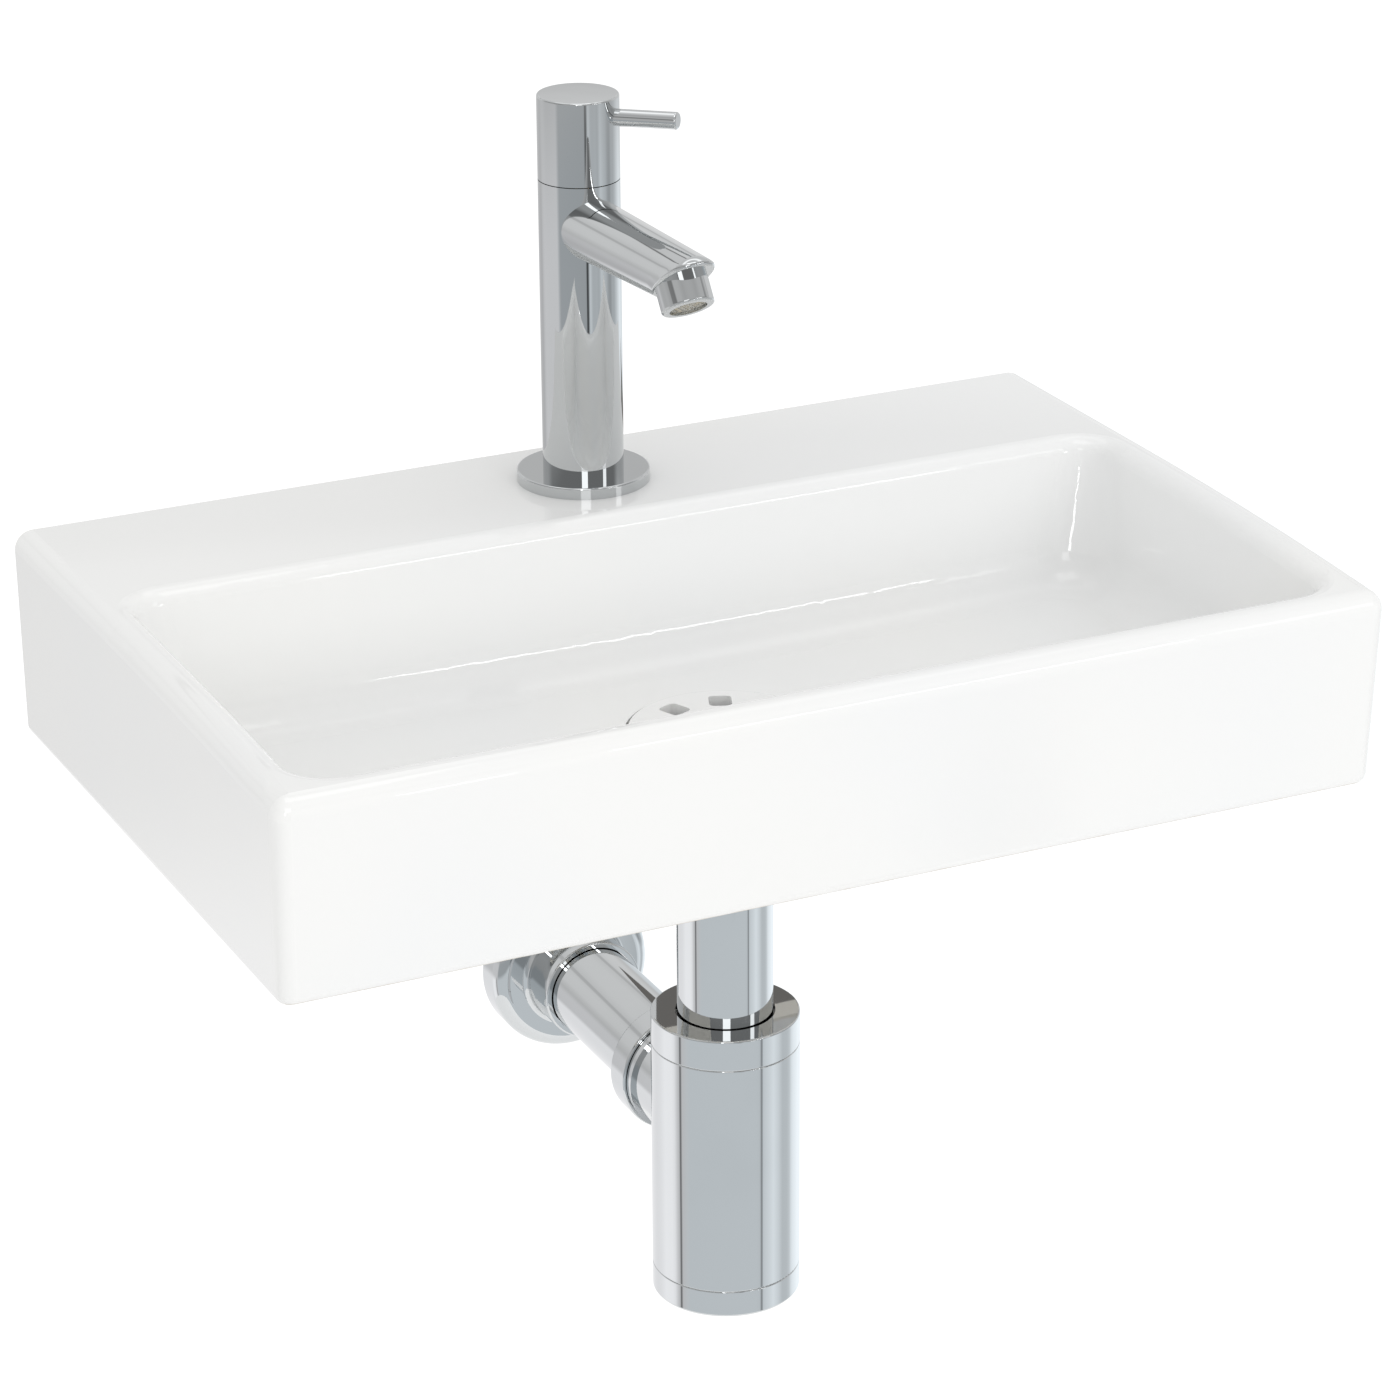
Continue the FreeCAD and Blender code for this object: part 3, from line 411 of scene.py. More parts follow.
@dataclass(frozen=True)
class TurnedBrass(Finish):
    """Machined brass with the rings of the lathe and patches of tarnish."""

    rings_per_metre: float = 2600.0
    ring_roughness: float = 0.05
    ring_depth: float = 0.00002
    tarnish: Colour = (0.42, 0.27, 0.10)
    patches: Grain = Grain(90.0, 5.0)
    patch_step: Step = (0.48, 0.75)
    tarnish_share: float = 0.55
    tarnish_roughness: float = 0.22

    def paint(self, shader: Shader) -> dict[str, Any]:
        """Fine rings across the axis, duller where the metal has aged.

        Args:
            shader: Takes the nodes.

        Returns:
            Values and links of the surface's sockets.
        """
        _, _, z = shader.split(shader.place())
        rings = z.wave(self.rings_per_metre)
        aged = shader.noise(self.patches).rise(*self.patch_step)
        return {
            "Base Color": shader.mix(aged * self.tarnish_share, self.colour, self.tarnish),
            "Metallic": 1.0,
            "Roughness": self.roughness + aged * self.tarnish_roughness + rings * self.ring_roughness,
            "Normal": shader.bump(rings, self.ring_depth),
        }


@dataclass(frozen=True)
class Rubber(Finish):
    """Black moulded rubber with a bloom of dust."""

    grain: Grain = Grain(2600.0, 3.0)
    grain_roughness: float = 0.1
    grain_depth: float = 0.00004
    dust: Colour = (0.13, 0.125, 0.12)
    bloom: Grain = Grain(110.0, 4.0)
    bloom_step: Step = (0.5, 0.8)
    bloom_share: float = 0.5
    bloom_roughness: float = 0.15

    def paint(self, shader: Shader) -> dict[str, Any]:
        """Matt grain with paler dusty patches.

        Args:
            shader: Takes the nodes.

        Returns:
            Values and links of the surface's sockets.
        """
        grain = shader.noise(self.grain)
        bloom = shader.noise(self.bloom).rise(*self.bloom_step)
        return {
            "Base Color": shader.mix(bloom * self.bloom_share, self.colour, self.dust),
            "Roughness": self.roughness + bloom * self.bloom_roughness + grain * self.grain_roughness,
            "Normal": shader.bump(grain, self.grain_depth),
        }


@dataclass(frozen=True)
class MouldedPlastic(Finish):
    """White moulded plastic with a fine spark-eroded grain."""

    grain: Grain = Grain(1900.0, 2.0)
    grain_roughness: float = 0.12
    grain_depth: float = 0.00002
    flow: Colour = (0.78, 0.775, 0.75)
    marks: Grain = Grain(70.0, 2.0, (1.0, 1.0, 0.3))
    mark_step: Step = (0.4, 0.7)

    def paint(self, shader: Shader) -> dict[str, Any]:
        """Even grain over faint flow marks.

        Args:
            shader: Takes the nodes.

        Returns:
            Values and links of the surface's sockets.
        """
        grain = shader.noise(self.grain)
        marks = shader.noise(self.marks).rise(*self.mark_step)
        return {
            "Base Color": shader.mix(marks, self.colour, self.flow),
            "Roughness": self.roughness + grain * self.grain_roughness,
            "Normal": shader.bump(grain, self.grain_depth),
        }


@dataclass(frozen=True)
class LappedCeramic(Finish):
    """Ground ceramic of the valve's discs."""

    pore: Colour = (0.70, 0.67, 0.62)
    pores_per_metre: float = 1500.0
    pore_step: Step = (0.08, 0.2)
    pore_share: float = 0.6
    pore_roughness: float = 0.3
    pore_depth: float = 0.00001
    sheen: Grain = Grain(400.0)
    sheen_roughness: float = 0.08

    def paint(self, shader: Shader) -> dict[str, Any]:
        """Satin faces with small open pores.

        Args:
            shader: Takes the nodes.

        Returns:
            Values and links of the surface's sockets.
        """
        pores = 1.0 - shader.specks(self.pores_per_metre).rise(*self.pore_step)
        sheen = shader.noise(self.sheen) * self.sheen_roughness
        return {
            "Base Color": shader.mix(pores * self.pore_share, self.colour, self.pore),
            "Roughness": self.roughness + pores * self.pore_roughness + sheen,
            "Normal": shader.bump(1.0 - pores, self.pore_depth),
        }


@dataclass(frozen=True)
class BrushedSteel(Finish):
    """Plain steel with fine lines of brushing."""

    line: Colour = (0.45, 0.45, 0.46)
    brushing: Grain = Grain(320.0, 4.0, (1.0, 14.0, 14.0))
    line_step: Step = (0.4, 0.7)
    line_roughness: float = 0.2
    line_depth: float = 0.00001

    def paint(self, shader: Shader) -> dict[str, Any]:
        """Lines along one axis, in colour, gloss and relief.

        Args:
            shader: Takes the nodes.

        Returns:
            Values and links of the surface's sockets.
        """
        lines = shader.noise(self.brushing)
        return {
            "Base Color": shader.mix(lines.rise(*self.line_step), self.colour, self.line),
            "Metallic": 1.0,
            "Roughness": self.roughness + lines * self.line_roughness,
            "Normal": shader.bump(lines, self.line_depth),
        }


@dataclass(frozen=True)
class ScaledWire(Finish):
    """Steel wire with a light deposit of lime."""

    lime: Colour = (0.62, 0.56, 0.44)
    crust: Grain = Grain(700.0, 4.0)
    crust_step: Step = (0.45, 0.7)
    crust_cover: float = 0.5
    crust_roughness: float = 0.35
    crust_depth: float = 0.00003

    def paint(self, shader: Shader) -> dict[str, Any]:
        """Bright wire, duller and paler where lime has settled.

        Args:
            shader: Takes the nodes.

        Returns:
            Values and links of the surface's sockets.
        """
        crust = shader.noise(self.crust).rise(*self.crust_step)
        return {
            "Base Color": shader.mix(crust, self.colour, self.lime),
            "Metallic": 1.0 - crust * self.crust_cover,
            "Roughness": self.roughness + crust * self.crust_roughness,
            "Normal": shader.bump(crust, self.crust_depth),
        }


FINISHES: dict[Slot, Finish] = {
    Slot.CERAMIC: Glaze("white_glaze", (0.90, 0.90, 0.888), 0.3),
    Slot.CHROME: Chrome("polished_chrome", (0.600, 0.615, 0.622), 0.02),
    Slot.BRASS: TurnedBrass("turned_brass", (0.72, 0.53, 0.25), 0.2),
    Slot.RUBBER: Rubber("black_rubber", (0.022, 0.022, 0.023), 0.6),
    Slot.DISC: LappedCeramic("lapped_ceramic", (0.86, 0.84, 0.80), 0.28),
    Slot.STEEL: BrushedSteel("brushed_steel", (0.60, 0.60, 0.61), 0.22),
    Slot.PLASTIC: MouldedPlastic("moulded_plastic", (0.85, 0.85, 0.83), 0.36),
    Slot.MESH: ScaledWire("steel_wire", (0.55, 0.53, 0.48), 0.25),
}


@dataclass
class Workshop:
    """Makes the materials once, dresses the solids and settles new pieces."""

    materials: dict[Slot, bpy.types.Material] = field(default_factory=dict)

    def __post_init__(self) -> None:
        """Makes every material."""
        self.materials = {slot: finish.material() for slot, finish in FINISHES.items()}

    def dress(self, slot: Slot, nodes: Iterable[str]) -> None:
        """Gives solids their finish.

        Args:
            slot: Which finish.
            nodes: Names of the solids.
        """
        for node in nodes:
            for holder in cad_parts[node].material_slots:
                holder.material = self.materials[slot]
            LOG.info("dressed %s in %s", node, slot.value)

    def settle(self, name: str, shape: bmesh.types.BMesh, slot: Slot, body: Body,
               stands_for: Sequence[str] = ()) -> bpy.types.Object:
        """Turns a finished shape into a piece of the object.

        Args:
            name: The piece's name.
            shape: Its mesh, already in place.
            slot: Its finish.
            body: What it moves with.
            stands_for: Solids that it replaces.

        Returns:
            The new object.
        """
        bmesh.ops.remove_doubles(shape, verts=shape.verts[:], dist=MERGE_DISTANCE)
        bmesh.ops.recalc_face_normals(shape, faces=shape.faces[:])
        for face in shape.faces:
            face.smooth = True
        mesh = bpy.data.meshes.new(name)
        shape.to_mesh(mesh)
        shape.free()
        mesh.set_sharp_from_angle(angle=SHARP_EDGE)
        mesh.materials.append(self.materials[slot])
        made = bpy.data.objects.new(name, mesh)
        bpy.context.scene.collection.objects.link(made)
        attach(made, body.value)
        if stands_for:
            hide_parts(*stands_for)
        LOG.info("built %s with %d faces, on %s", name, len(mesh.polygons), body.value)
        return made


def upright(node: str) -> tuple[Vector, float, float]:
    """Measures a solid that stands on an upright axis.

    Args:
        node: Name of the solid.

    Returns:
        The foot of its axis, its height and its radius.
    """
    low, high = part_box(node)
    foot = Vector(((low.x + high.x) / 2.0, (low.y + high.y) / 2.0, low.z))
    return foot, high.z - low.z, (high.x - low.x) / 2.0


def turn_profile(shape: bmesh.types.BMesh, profile: Sequence[tuple[float, float]], foot: Vector,
                 steps: int) -> None:
    """Turns a closed outline round an upright axis.

    Args:
        shape: Mesh that takes the result.
        profile: Radius and height of each corner.
        foot: A point on the axis; heights count from it.
        steps: Divisions of the full turn.
    """
    corners = [shape.verts.new(foot + Vector((radius, 0.0, height))) for radius, height in profile]
    edges = [shape.edges.new((corners[i - 1], corners[i])) for i in range(len(corners))]
    bmesh.ops.spin(shape, geom=corners + edges, cent=foot, axis=UP, angle=math.tau, steps=steps,
                   use_merge=True)


@dataclass(frozen=True)
class ScrewThread:
    """A ridge that winds round an upright core; the tooth's root and crest are shares of the pitch."""

    crest_r: float
    depth: float
    pitch: float
    low: float
    high: float
    root: Step = (0.06, 0.90)
    crest: Step = (0.42, 0.54)
    steps_per_turn: int = 48
    sink: float = 0.0001

    def wind(self, shape: bmesh.types.BMesh, foot: Vector) -> None:
        """Adds the ridge to a mesh.

        Args:
            shape: Mesh that takes the ridge.
            foot: A point on the axis; heights count from it.
        """
        root_r = self.crest_r - self.depth - self.sink
        tooth = ((root_r, self.root[0]), (self.crest_r, self.crest[0]),
                 (self.crest_r, self.crest[1]), (root_r, self.root[1]))
        corners = [shape.verts.new(foot + Vector((radius, 0.0, self.low + share * self.pitch)))
                   for radius, share in tooth]
        first = shape.faces.new(corners)
        turns = (self.high - self.low) / self.pitch - 1.0
        steps = round(turns * self.steps_per_turn)
        lift = Vector((0.0, 0.0, self.pitch / self.steps_per_turn))
        wound = bmesh.ops.spin(shape, geom=corners + first.edges[:], cent=foot, axis=UP, dvec=lift,
                               angle=math.tau * turns, steps=steps)
        last = [item for item in wound["geom_last"] if isinstance(item, bmesh.types.BMEdge)]
        bmesh.ops.contextual_create(shape, geom=last)


@dataclass
class Assembly:
    """A group of solids that belong together, with the finish of each."""

    solids: Dressing = ()

    def build(self, shop: Workshop) -> None:
        """Adds no piece, unless a group has some of its own."""

    def dress(self, shop: Workshop) -> None:
        """Gives the solids their finishes."""
        for slot, nodes in self.solids:
            shop.dress(slot, nodes)


@dataclass
class BasinShell(Assembly):
    """The ceramic basin."""

    solids: Dressing = ((Slot.CERAMIC, ("basin",)),)


@dataclass
class Tap(Assembly):
    """Column, base ring, spout and the threaded tail with its fixings."""

    solids: Dressing = (
        (Slot.CHROME, ("tap_base_ring", "tap_body", "spout")),
        (Slot.BRASS, ("tap_backnut", "cartridge_body")),
        (Slot.RUBBER, ("base_gasket", "deck_seal", "cartridge_seal")),
        (Slot.STEEL, ("deck_washer",)),
        (Slot.DISC, ("fixed_disc",)),
    )
    tail_r: float = 10.4 * MM
    tail_bore_r: float = 6.0 * MM
    plug_r: float = 9.0 * MM
    plug_length: float = 10.0 * MM
    free_length: float = 26.0 * MM
    relief: float = 2.0 * MM
    thread_depth: float = 1.0 * MM
    thread_pitch: float = 1.814 * MM
    end_chamfer: float = 1.2 * MM
    steps: int = 64

    def build(self, shop: Workshop) -> None:
        """Cuts the thread of the inlet tail, below and above a plain neck.

        Args:
            shop: Settles the piece.
        """
        foot, tall, _ = upright("inlet_tail")
        core = self.tail_r - self.thread_depth
        shoulder = tall - self.plug_length
        shape = bmesh.new()
        turn_profile(shape, (
            (self.tail_bore_r, 0.0), (core - self.end_chamfer, 0.0), (core, self.end_chamfer),
            (core, shoulder), (self.plug_r, shoulder), (self.plug_r, tall), (self.tail_bore_r, tall),
        ), foot, self.steps)
        lower = (self.end_chamfer / 2.0, self.free_length)
        upper = (self.free_length + self.relief, shoulder)
        for low, high in (lower, upper):
            ScrewThread(self.tail_r, self.thread_depth, self.thread_pitch, low, high).wind(shape, foot)
        shop.settle("inlet_tail_thread", shape, Slot.BRASS, Body.BASIN_SET, ("inlet_tail",))


@dataclass
class HandleSet(Assembly):
    """The turning cap with its lever and the valve's stem."""

    solids: Dressing = (
        (Slot.CHROME, ("handle", "lever")),
        (Slot.STEEL, ("handle_screw",)),
        (Slot.BRASS, ("spindle",)),
        (Slot.RUBBER, ("spindle_ring",)),
        (Slot.PLASTIC, ("thrust_washer",)),
        (Slot.DISC, ("moving_disc",)),
    )


@dataclass
class Aerator(Assembly):
    """The ring at the mouth of the spout, with its woven wire."""

    solids: Dressing = (
        (Slot.CHROME, ("aerator_housing",)),
        (Slot.RUBBER, ("aerator_seal",)),
        (Slot.PLASTIC, ("aerator_core",)),
    )
    tilt: float = math.radians(35.0)
    clearance: float = 0.1 * MM
    wires: int = 15
    wire_thickness: float = 0.34 * MM
    weave_height: float = 0.13 * MM
    hem_r: float = 0.45 * MM
    hem_sides: int = 8
    hem_steps: int = 48

    def build(self, shop: Workshop) -> None:
        """Weaves the mesh as a grid of wires with a rolled hem.

        Args:
            shop: Settles the piece.
        """
        low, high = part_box("aerator_mesh")
        radius = (high.x - low.x) / 2.0 - self.clearance
        pitch = 2.0 * radius / self.wires
        half = self.wires / 2.0
        shape = bmesh.new()
        bmesh.ops.create_grid(shape, x_segments=self.wires, y_segments=self.wires, size=radius)
        for corner in shape.verts:
            crossing = round(corner.co.x / pitch + half) + round(corner.co.y / pitch + half)
            corner.co.z = self.weave_height if crossing % 2 else -self.weave_height
        outside = [corner for corner in shape.verts if corner.co.xy.length > radius]
        bmesh.ops.delete(shape, geom=outside, context="VERTS")
        bmesh.ops.wireframe(shape, faces=shape.faces[:], thickness=self.wire_thickness, offset=0.0,
                            use_replace=True, use_boundary=True, use_even_offset=True)
        angles = [math.tau * side / self.hem_sides for side in range(self.hem_sides)]
        hem = [(radius - self.hem_r + self.hem_r * math.cos(angle), self.hem_r * math.sin(angle))
               for angle in angles]
        turn_profile(shape, hem, Vector(), self.hem_steps)
        turned = Matrix.Rotation(math.pi - self.tilt, 4, "X")
        placed = Matrix.Translation((low + high) / 2.0) @ turned
        bmesh.ops.transform(shape, matrix=placed, verts=shape.verts[:])
        shop.settle("aerator_wires", shape, Slot.MESH, Body.AERATOR, ("aerator_mesh",))


@dataclass
class Waste(Assembly):
    """The slotted cover, and the threaded waste with its seals and nut."""

    solids: Dressing = (
        (Slot.CERAMIC, ("waste_cover",)),
        (Slot.RUBBER, ("waste_top_seal", "waste_low_seal")),
        (Slot.PLASTIC, ("waste_washer",)),
        (Slot.BRASS, ("waste_backnut",)),
    )
    flange_t: float = 2.0 * MM
    tail_r: float = 20.9 * MM
    bore_r: float = 17.0 * MM
    thread_depth: float = 1.2 * MM
    thread_pitch: float = 2.309 * MM
    thread_length: float = 27.0 * MM
    end_chamfer: float = 1.4 * MM
    steps: int = 96

    def build(self, shop: Workshop) -> None:
        """Cuts the thread of the waste's tail.

        Args:
            shop: Settles the piece.
        """
        foot, tall, flange_r = upright("waste_body")
        neck = tall - self.flange_t
        core = self.tail_r - self.thread_depth
        shape = bmesh.new()
        turn_profile(shape, (
            (self.bore_r, 0.0), (core - self.end_chamfer, 0.0), (core, self.end_chamfer),
            (core, self.thread_length), (self.tail_r, self.thread_length), (self.tail_r, neck),
            (flange_r, neck), (flange_r, tall), (self.bore_r, tall),
        ), foot, self.steps)
        ScrewThread(self.tail_r, self.thread_depth, self.thread_pitch, self.end_chamfer / 2.0,
                    self.thread_length).wind(shape, foot)
        shop.settle("waste_thread", shape, Slot.CHROME, Body.BASIN_SET, ("waste_body",))


@dataclass
class Trap(Assembly):
    """The union nut with its grip, the inlet tube and the bottle."""

    solids: Dressing = (
        (Slot.CHROME, ("inlet_tube", "trap_collar", "trap_bottle", "trap_cup")),
        (Slot.RUBBER, ("union_seal", "slip_seal", "cup_ring")),
        (Slot.PLASTIC, ("slip_ring",)),
    )
    nut_bore_r: float = 21.0 * MM
    tube_bore_r: float = 16.35 * MM
    nut_r: float = 25.0 * MM
    lip: float = 3.5 * MM
    plain_band: float = 3.2 * MM
    edge: float = 0.8 * MM
    flutes: int = 60
    flute_wall: float = 0.45 * MM
    flute_depth: float = 0.5 * MM

    def build(self, shop: Workshop) -> None:
        """Gives the union nut a ring of fine flutes.

        Args:
            shop: Settles the piece.
        """
        foot, tall, _ = upright("union_nut")
        shape = bmesh.new()
        turn_profile(shape, (
            (self.tube_bore_r, 0.0), (self.nut_r - self.edge, 0.0), (self.nut_r, self.edge),
            (self.nut_r, self.plain_band), (self.nut_r, tall - self.plain_band),
            (self.nut_r, tall - self.edge), (self.nut_r - self.edge, tall),
            (self.nut_bore_r, tall), (self.nut_bore_r, self.lip), (self.tube_bore_r, self.lip),
        ), foot, self.flutes)
        bmesh.ops.recalc_face_normals(shape, faces=shape.faces[:])
        bmesh.ops.inset_individual(shape, faces=self._grip(shape, foot, tall), thickness=self.flute_wall,
                                   depth=-self.flute_depth, use_even_offset=True)
        shop.settle("union_nut_grip", shape, Slot.CHROME, Body.BASIN_SET, ("union_nut",))

    def _grip(self, shape: bmesh.types.BMesh, foot: Vector, tall: float) -> list[bmesh.types.BMFace]:
        """Finds the middle band on the outside of the nut.

        Args:
            shape: The turned nut.
            foot: The foot of its axis.
            tall: Its height.

        Returns:
            The faces that become flutes.
        """
        middle = foot.z + tall / 2.0
        wall = (self.nut_r + self.nut_bore_r) / 2.0
        centres = [(face, face.calc_center_median()) for face in shape.faces]
        return [face for face, centre in centres
                if abs(centre.z - middle) < MM and (centre - foot).xy.length > wall]


@dataclass
class WallOutlet(Assembly):
    """The pipe to the wall with its nut and rosette."""

    solids: Dressing = (
        (Slot.CHROME, ("outlet_nut", "wall_pipe", "wall_rosette")),
        (Slot.RUBBER, ("outlet_seal",)),
    )


@dataclass(frozen=True)
class Lamp:
    """A soft rectangular lamp aimed at the basin, either a light or something bright for mirrors to show."""

    name: str
    place: Triple
    size: tuple[float, float]
    watts: float
    in_mirrors: bool = False
    aim: Triple = (0.0, -0.12, 0.0)

    def hang(self) -> None:
        """Puts the lamp in the scene."""
        light = bpy.data.lights.new(self.name, "AREA")
        light.shape = "RECTANGLE"
        light.size, light.size_y = self.size
        light.energy = self.watts
        made = bpy.data.objects.new(self.name, light)
        bpy.context.scene.collection.objects.link(made)
        made.location = self.place
        made.rotation_euler = (Vector(self.aim) - made.location).to_track_quat("-Z", "Y").to_euler()
        made.visible_glossy = self.in_mirrors
        made.visible_diffuse = not self.in_mirrors
        made.visible_camera = False


@dataclass(frozen=True)
class ViewCamera:
    """The camera at the photograph's view."""

    place: Triple = (-0.6088, -1.3964, 0.5688)
    aim: Triple = (-0.00885, -0.14475, 0.00007)
    roll: float = math.radians(-0.318)
    lens: float = 119.85
    sensor: float = 36.0

    def set_up(self) -> None:
        """Makes it the scene's camera."""
        data = bpy.data.cameras.new("view")
        data.lens = self.lens
        data.sensor_width = self.sensor
        made = bpy.data.objects.new("view", data)
        bpy.context.scene.collection.objects.link(made)
        made.location = self.place
        level = (Vector(self.aim) - made.location).to_track_quat("-Z", "Y")
        made.rotation_euler = (level @ Quaternion((0.0, 0.0, 1.0), self.roll)).to_euler()
        bpy.context.scene.camera = made


@dataclass
class Studio:
    """White floor and surroundings, soft lamps, and a tent of grey panels that only mirrors see.

    The panels of the walls have their place as an angle in degrees from the camera's side, and those above as
    a height. The low walls are for the trap and the high ones for the tap.
    """

    floor_z: float = -0.86
    floor_half: float = 6.0
    floor_colour: Colour = (0.86, 0.86, 0.86)
    floor_glow: Colour = (0.32, 0.32, 0.32)
    backdrop: Colour = (1.0, 1.0, 1.0)
    ambient: Colour = (0.905, 0.905, 0.905)
    tent_r: float = 1.30
    tent_centre: Triple = (0.0, -0.12, 0.0)
    tent_columns: int = 64
    tent_rows: int = 32
    tent_strength: float = 1.5
    view_turn: float = math.radians(26.1)
    trap_panels: Stops = (
        (-180.0, 0.67), (-132.0, 0.72), (-120.0, 0.765), (-106.0, 0.86), (-90.0, 0.86), (-84.0, 0.80),
        (-79.0, 0.62), (-74.5, 0.50), (-72.8, 0.13), (-71.2, 0.13), (-69.4, 0.52), (-60.0, 0.56),
        (48.0, 0.57), (54.2, 0.55), (55.7, 0.24), (57.3, 0.24), (59.0, 0.60), (64.0, 0.66), (68.0, 0.69),
        (78.0, 0.79), (88.0, 0.68), (97.0, 0.535), (108.0, 0.535), (115.0, 0.60), (121.0, 0.78),
        (128.0, 0.86), (145.0, 0.90), (180.0, 0.67),
    )
    tap_panels: Stops = (
        (-180.0, 0.50), (-150.0, 0.42), (-134.0, 0.42), (-124.0, 0.53), (-116.0, 0.57), (-68.0, 0.57),
        (-63.5, 0.45), (-59.0, 0.355), (-20.0, 0.35), (12.0, 0.345), (17.0, 0.33), (18.5, 0.06),
        (23.0, 0.07), (25.0, 0.36), (28.0, 0.60), (31.5, 0.55), (36.0, 0.45), (42.0, 0.44), (50.0, 0.45),
        (57.0, 0.42), (66.0, 0.58), (75.0, 0.51), (84.0, 0.45), (91.0, 0.35), (98.0, 0.31), (106.0, 0.42),
        (113.0, 0.42), (122.0, 0.51), (130.0, 0.65), (145.0, 0.82), (180.0, 0.50),
    )
    trap_to_tap: Step = (-0.60, -0.48)
    wall_tints: Stops = (
        (-180.0, (0.99, 0.985, 1.0)), (-70.0, (0.99, 0.985, 1.0)), (-56.0, (0.91, 0.962, 1.0)),
        (180.0, (0.91, 0.962, 1.0)),
    )
    sky_panels: Stops = (
        (-0.10, 0.39), (0.20, 0.42), (0.34, 0.38), (0.43, 0.36), (0.47, 0.20), (0.66, 0.18), (0.72, 0.42),
        (0.86, 0.42), (0.98, 0.36), (1.12, 0.44), (1.20, 0.60), (1.30, 0.62),
    )
    back_panels: Stops = (
        (-0.10, 0.46), (0.10, 0.56), (0.30, 0.57), (0.39, 0.55), (0.42, 0.42), (0.465, 0.42), (0.478, 0.52),
        (0.58, 0.57), (0.69, 0.58), (0.697, 0.16), (0.706, 0.16), (0.713, 0.54), (0.76, 0.54), (0.90, 0.50),
        (1.08, 0.56), (1.12, 1.00), (1.20, 1.00), (1.24, 0.50), (1.30, 0.50),
    )
    sky_to_back: Step = (98.0, 124.0)
    walls_to_above: Step = (-0.26, -0.08)
    # The card stands in for the shaded wall under the basin; its dark tone is painted shade, which the trap's
    # top mirrors.
    shade_card_centre: Triple = (0.13, 0.06, -0.035)
    shade_card_half: float = 0.06
    shade_card_tone: Colour = (0.19, 0.18, 0.17)
    lamps: tuple[Lamp, ...] = (
        Lamp("overhead", (-0.04, -0.35, 1.08), (0.60, 0.45), 1.0, True),
        Lamp("strip", (0.46, -1.10, 0.335), (0.31, 0.055), 0.40, True),
        Lamp("soft_box", (-0.395, -1.093, 0.545), (0.34, 0.34), 0.75, True),
        Lamp("side_box", (0.689, -0.913, 0.44), (0.20, 0.18), 0.20, True),
        Lamp("rim_light", (0.19, -1.10, -0.04), (0.06, 0.04), 0.07, True),
        Lamp("corner_light", (-0.54, -1.07, 0.27), (0.07, 0.12), 0.26, True),
        Lamp("front", (0.50, -2.30, 0.72), (1.6, 1.0), 10.1),
        Lamp("left", (-1.20, -2.10, 0.65), (1.4, 1.0), 1.6),
    )

    def build(self) -> None:
        """Sets up everything round the object."""
        self._world()
        self._floor()
        self._tent()
        self._shade_card()
        for lamp in self.lamps:
            lamp.hang()
        bpy.context.scene.view_settings.view_transform = "Standard"

    def _seen(self, shader: Shader) -> Sock:
        """Tells what is looked at from what only gives light.

        Args:
            shader: Takes the nodes.

        Returns:
            1 where the camera, a mirror or glass looks, else 0.
        """
        camera = shader.node("ShaderNodeLightPath", output="Is Camera Ray")
        outputs = camera.socket.node.outputs
        mirror = Sock(shader, outputs["Is Glossy Ray"])
        return camera.most(mirror).most(Sock(shader, outputs["Is Transmission Ray"]))

    def _world(self) -> None:
        """White where it is seen, and an even soft light elsewhere."""
        world = bpy.data.worlds.new("studio")
        bpy.context.scene.world = world
        world.use_nodes = True
        shader = Shader(world.node_tree)
        colour = shader.mix(self._seen(shader), self.ambient, self.backdrop)
        glow = shader.node("ShaderNodeBackground", None, {"Color": colour})
        shader.node("ShaderNodeOutputWorld", None, {"Surface": glow})

    def _stage_piece(self, name: str, shape: bmesh.types.BMesh) -> tuple[bpy.types.Object, Shader]:
        """Puts a shape in the scene as part of the studio.

        Args:
            name: Name of the object and its material.
            shape: Its mesh.

        Returns:
            The object and the shader of its material.
        """
        mesh = bpy.data.meshes.new(name)
        shape.to_mesh(mesh)
        shape.free()
        made = bpy.data.objects.new(name, mesh)
        bpy.context.scene.collection.objects.link(made)
        material = bpy.data.materials.new(name)
        material.use_nodes = True
        mesh.materials.append(material)
        return made, Shader(material.node_tree)

    def _floor(self) -> None:
        """A pale floor that looks white and still takes the shadow."""
        shape = bmesh.new()
        bmesh.ops.create_grid(shape, x_segments=1, y_segments=1, size=self.floor_half,
                              matrix=Matrix.Translation((0.0, 0.0, self.floor_z)))
        _, shader = self._stage_piece("floor", shape)
        matt = shader.node("ShaderNodeBsdfDiffuse", None, {"Color": (*self.floor_colour, 1.0)})
        shine = shader.mix(self._seen(shader), BLACK, self.floor_glow)
        glow = shader.node("ShaderNodeEmission", None, {"Color": shine})
        both = shader.node("ShaderNodeAddShader", None, {0: matt, 1: glow})
        shader.node("ShaderNodeOutputMaterial", None, {"Surface": both})

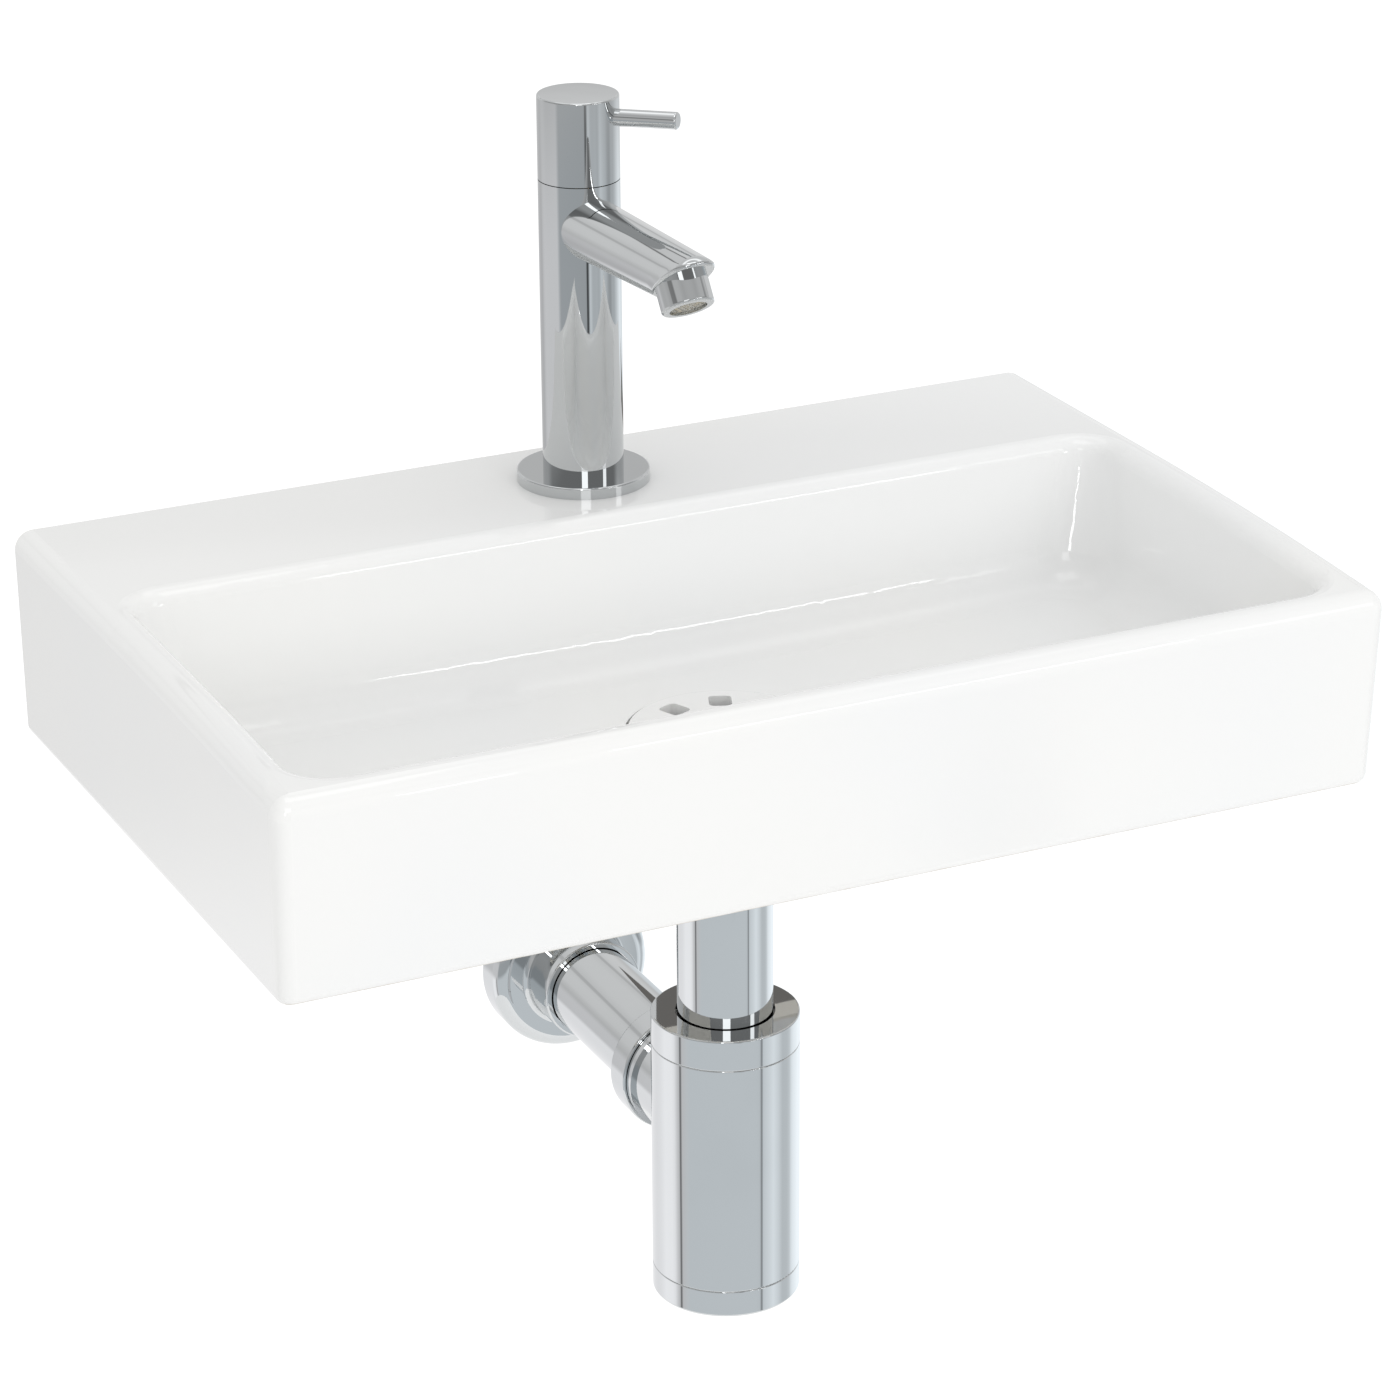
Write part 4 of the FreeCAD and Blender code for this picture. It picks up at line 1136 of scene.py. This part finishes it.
    def _tent(self) -> None:
        """Grey and white panels with thin dark gaps, which give the chrome something to mirror."""
        shape = bmesh.new()
        bmesh.ops.create_uvsphere(shape, u_segments=self.tent_columns, v_segments=self.tent_rows,
                                  radius=self.tent_r, matrix=Matrix.Translation(self.tent_centre))
        tent, shader = self._stage_piece("panels", shape)
        self._only_in_mirrors(tent)
        x, y, z = shader.split(shader.place())
        turn = x.bearing(self.tent_centre[1] - y) + self.view_turn
        angle = shader.node("ShaderNodeMath", {"operation": "WRAP"},
                            {0: turn * math.degrees(1.0), 1: HALF_TURN, 2: -HALF_TURN})
        walls = shader.mix(z.rise(*self.trap_to_tap), self._ramp(angle, self.trap_panels),
                           self._ramp(angle, self.tap_panels))
        walls = shader.mix(1.0, walls, self._ramp(angle, self.wall_tints), "MULTIPLY")
        above = shader.mix(angle.size().rise(*self.sky_to_back), self._ramp(z, self.sky_panels),
                           self._ramp(z, self.back_panels))
        panels = shader.mix(z.rise(*self.walls_to_above), walls, above)
        glow = shader.node("ShaderNodeEmission", None, {"Color": panels, "Strength": self.tent_strength})
        shader.node("ShaderNodeOutputMaterial", None, {"Surface": glow})

    def _shade_card(self) -> None:
        """A dark card behind the basin, seen only in mirrors, that stands in for the shaded wall under the
        basin: painted shade, which the top of the trap mirrors.
        """
        shape = bmesh.new()
        standing = Matrix.Translation(self.shade_card_centre) @ Matrix.Rotation(math.pi / 2.0, 4, "X")
        bmesh.ops.create_grid(shape, x_segments=1, y_segments=1, size=self.shade_card_half, matrix=standing)
        shade_card, shader = self._stage_piece("shade_card", shape)
        self._only_in_mirrors(shade_card)
        glow = shader.node("ShaderNodeEmission", None, {"Color": (*self.shade_card_tone, 1.0)})
        shader.node("ShaderNodeOutputMaterial", None, {"Surface": glow})

    @staticmethod
    def _only_in_mirrors(made: bpy.types.Object) -> None:
        """Hides a part of the studio from all but mirrors.

        Args:
            made: The part to hide.
        """
        made.visible_camera = False
        made.visible_diffuse = False
        made.visible_shadow = False

    @staticmethod
    def _ramp(where: Sock, stops: Stops) -> Sock:
        """Panels along an angle or a height.

        Args:
            where: The angle or height.
            stops: Tones, with their places in the same unit.

        Returns:
            The tone at that place.
        """
        low = stops[0][0]
        span = stops[-1][0] - low
        shares = [((place - low) / span, tone) for place, tone in stops]
        return where.shader.node("ShaderNodeValToRGB", {"stops": shares}, {0: (where - low) / span})


def main() -> None:
    """Builds and dresses the object, then sets up the studio and the camera."""
    logging.basicConfig(level=logging.INFO, format="%(name)s: %(message)s")
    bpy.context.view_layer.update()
    shop = Workshop()
    for assembly in (BasinShell(), Tap(), HandleSet(), Aerator(), Waste(), Trap(), WallOutlet()):
        assembly.build(shop)
        assembly.dress(shop)
    Studio().build()
    ViewCamera().set_up()


if __name__ == "__main__":
    main()
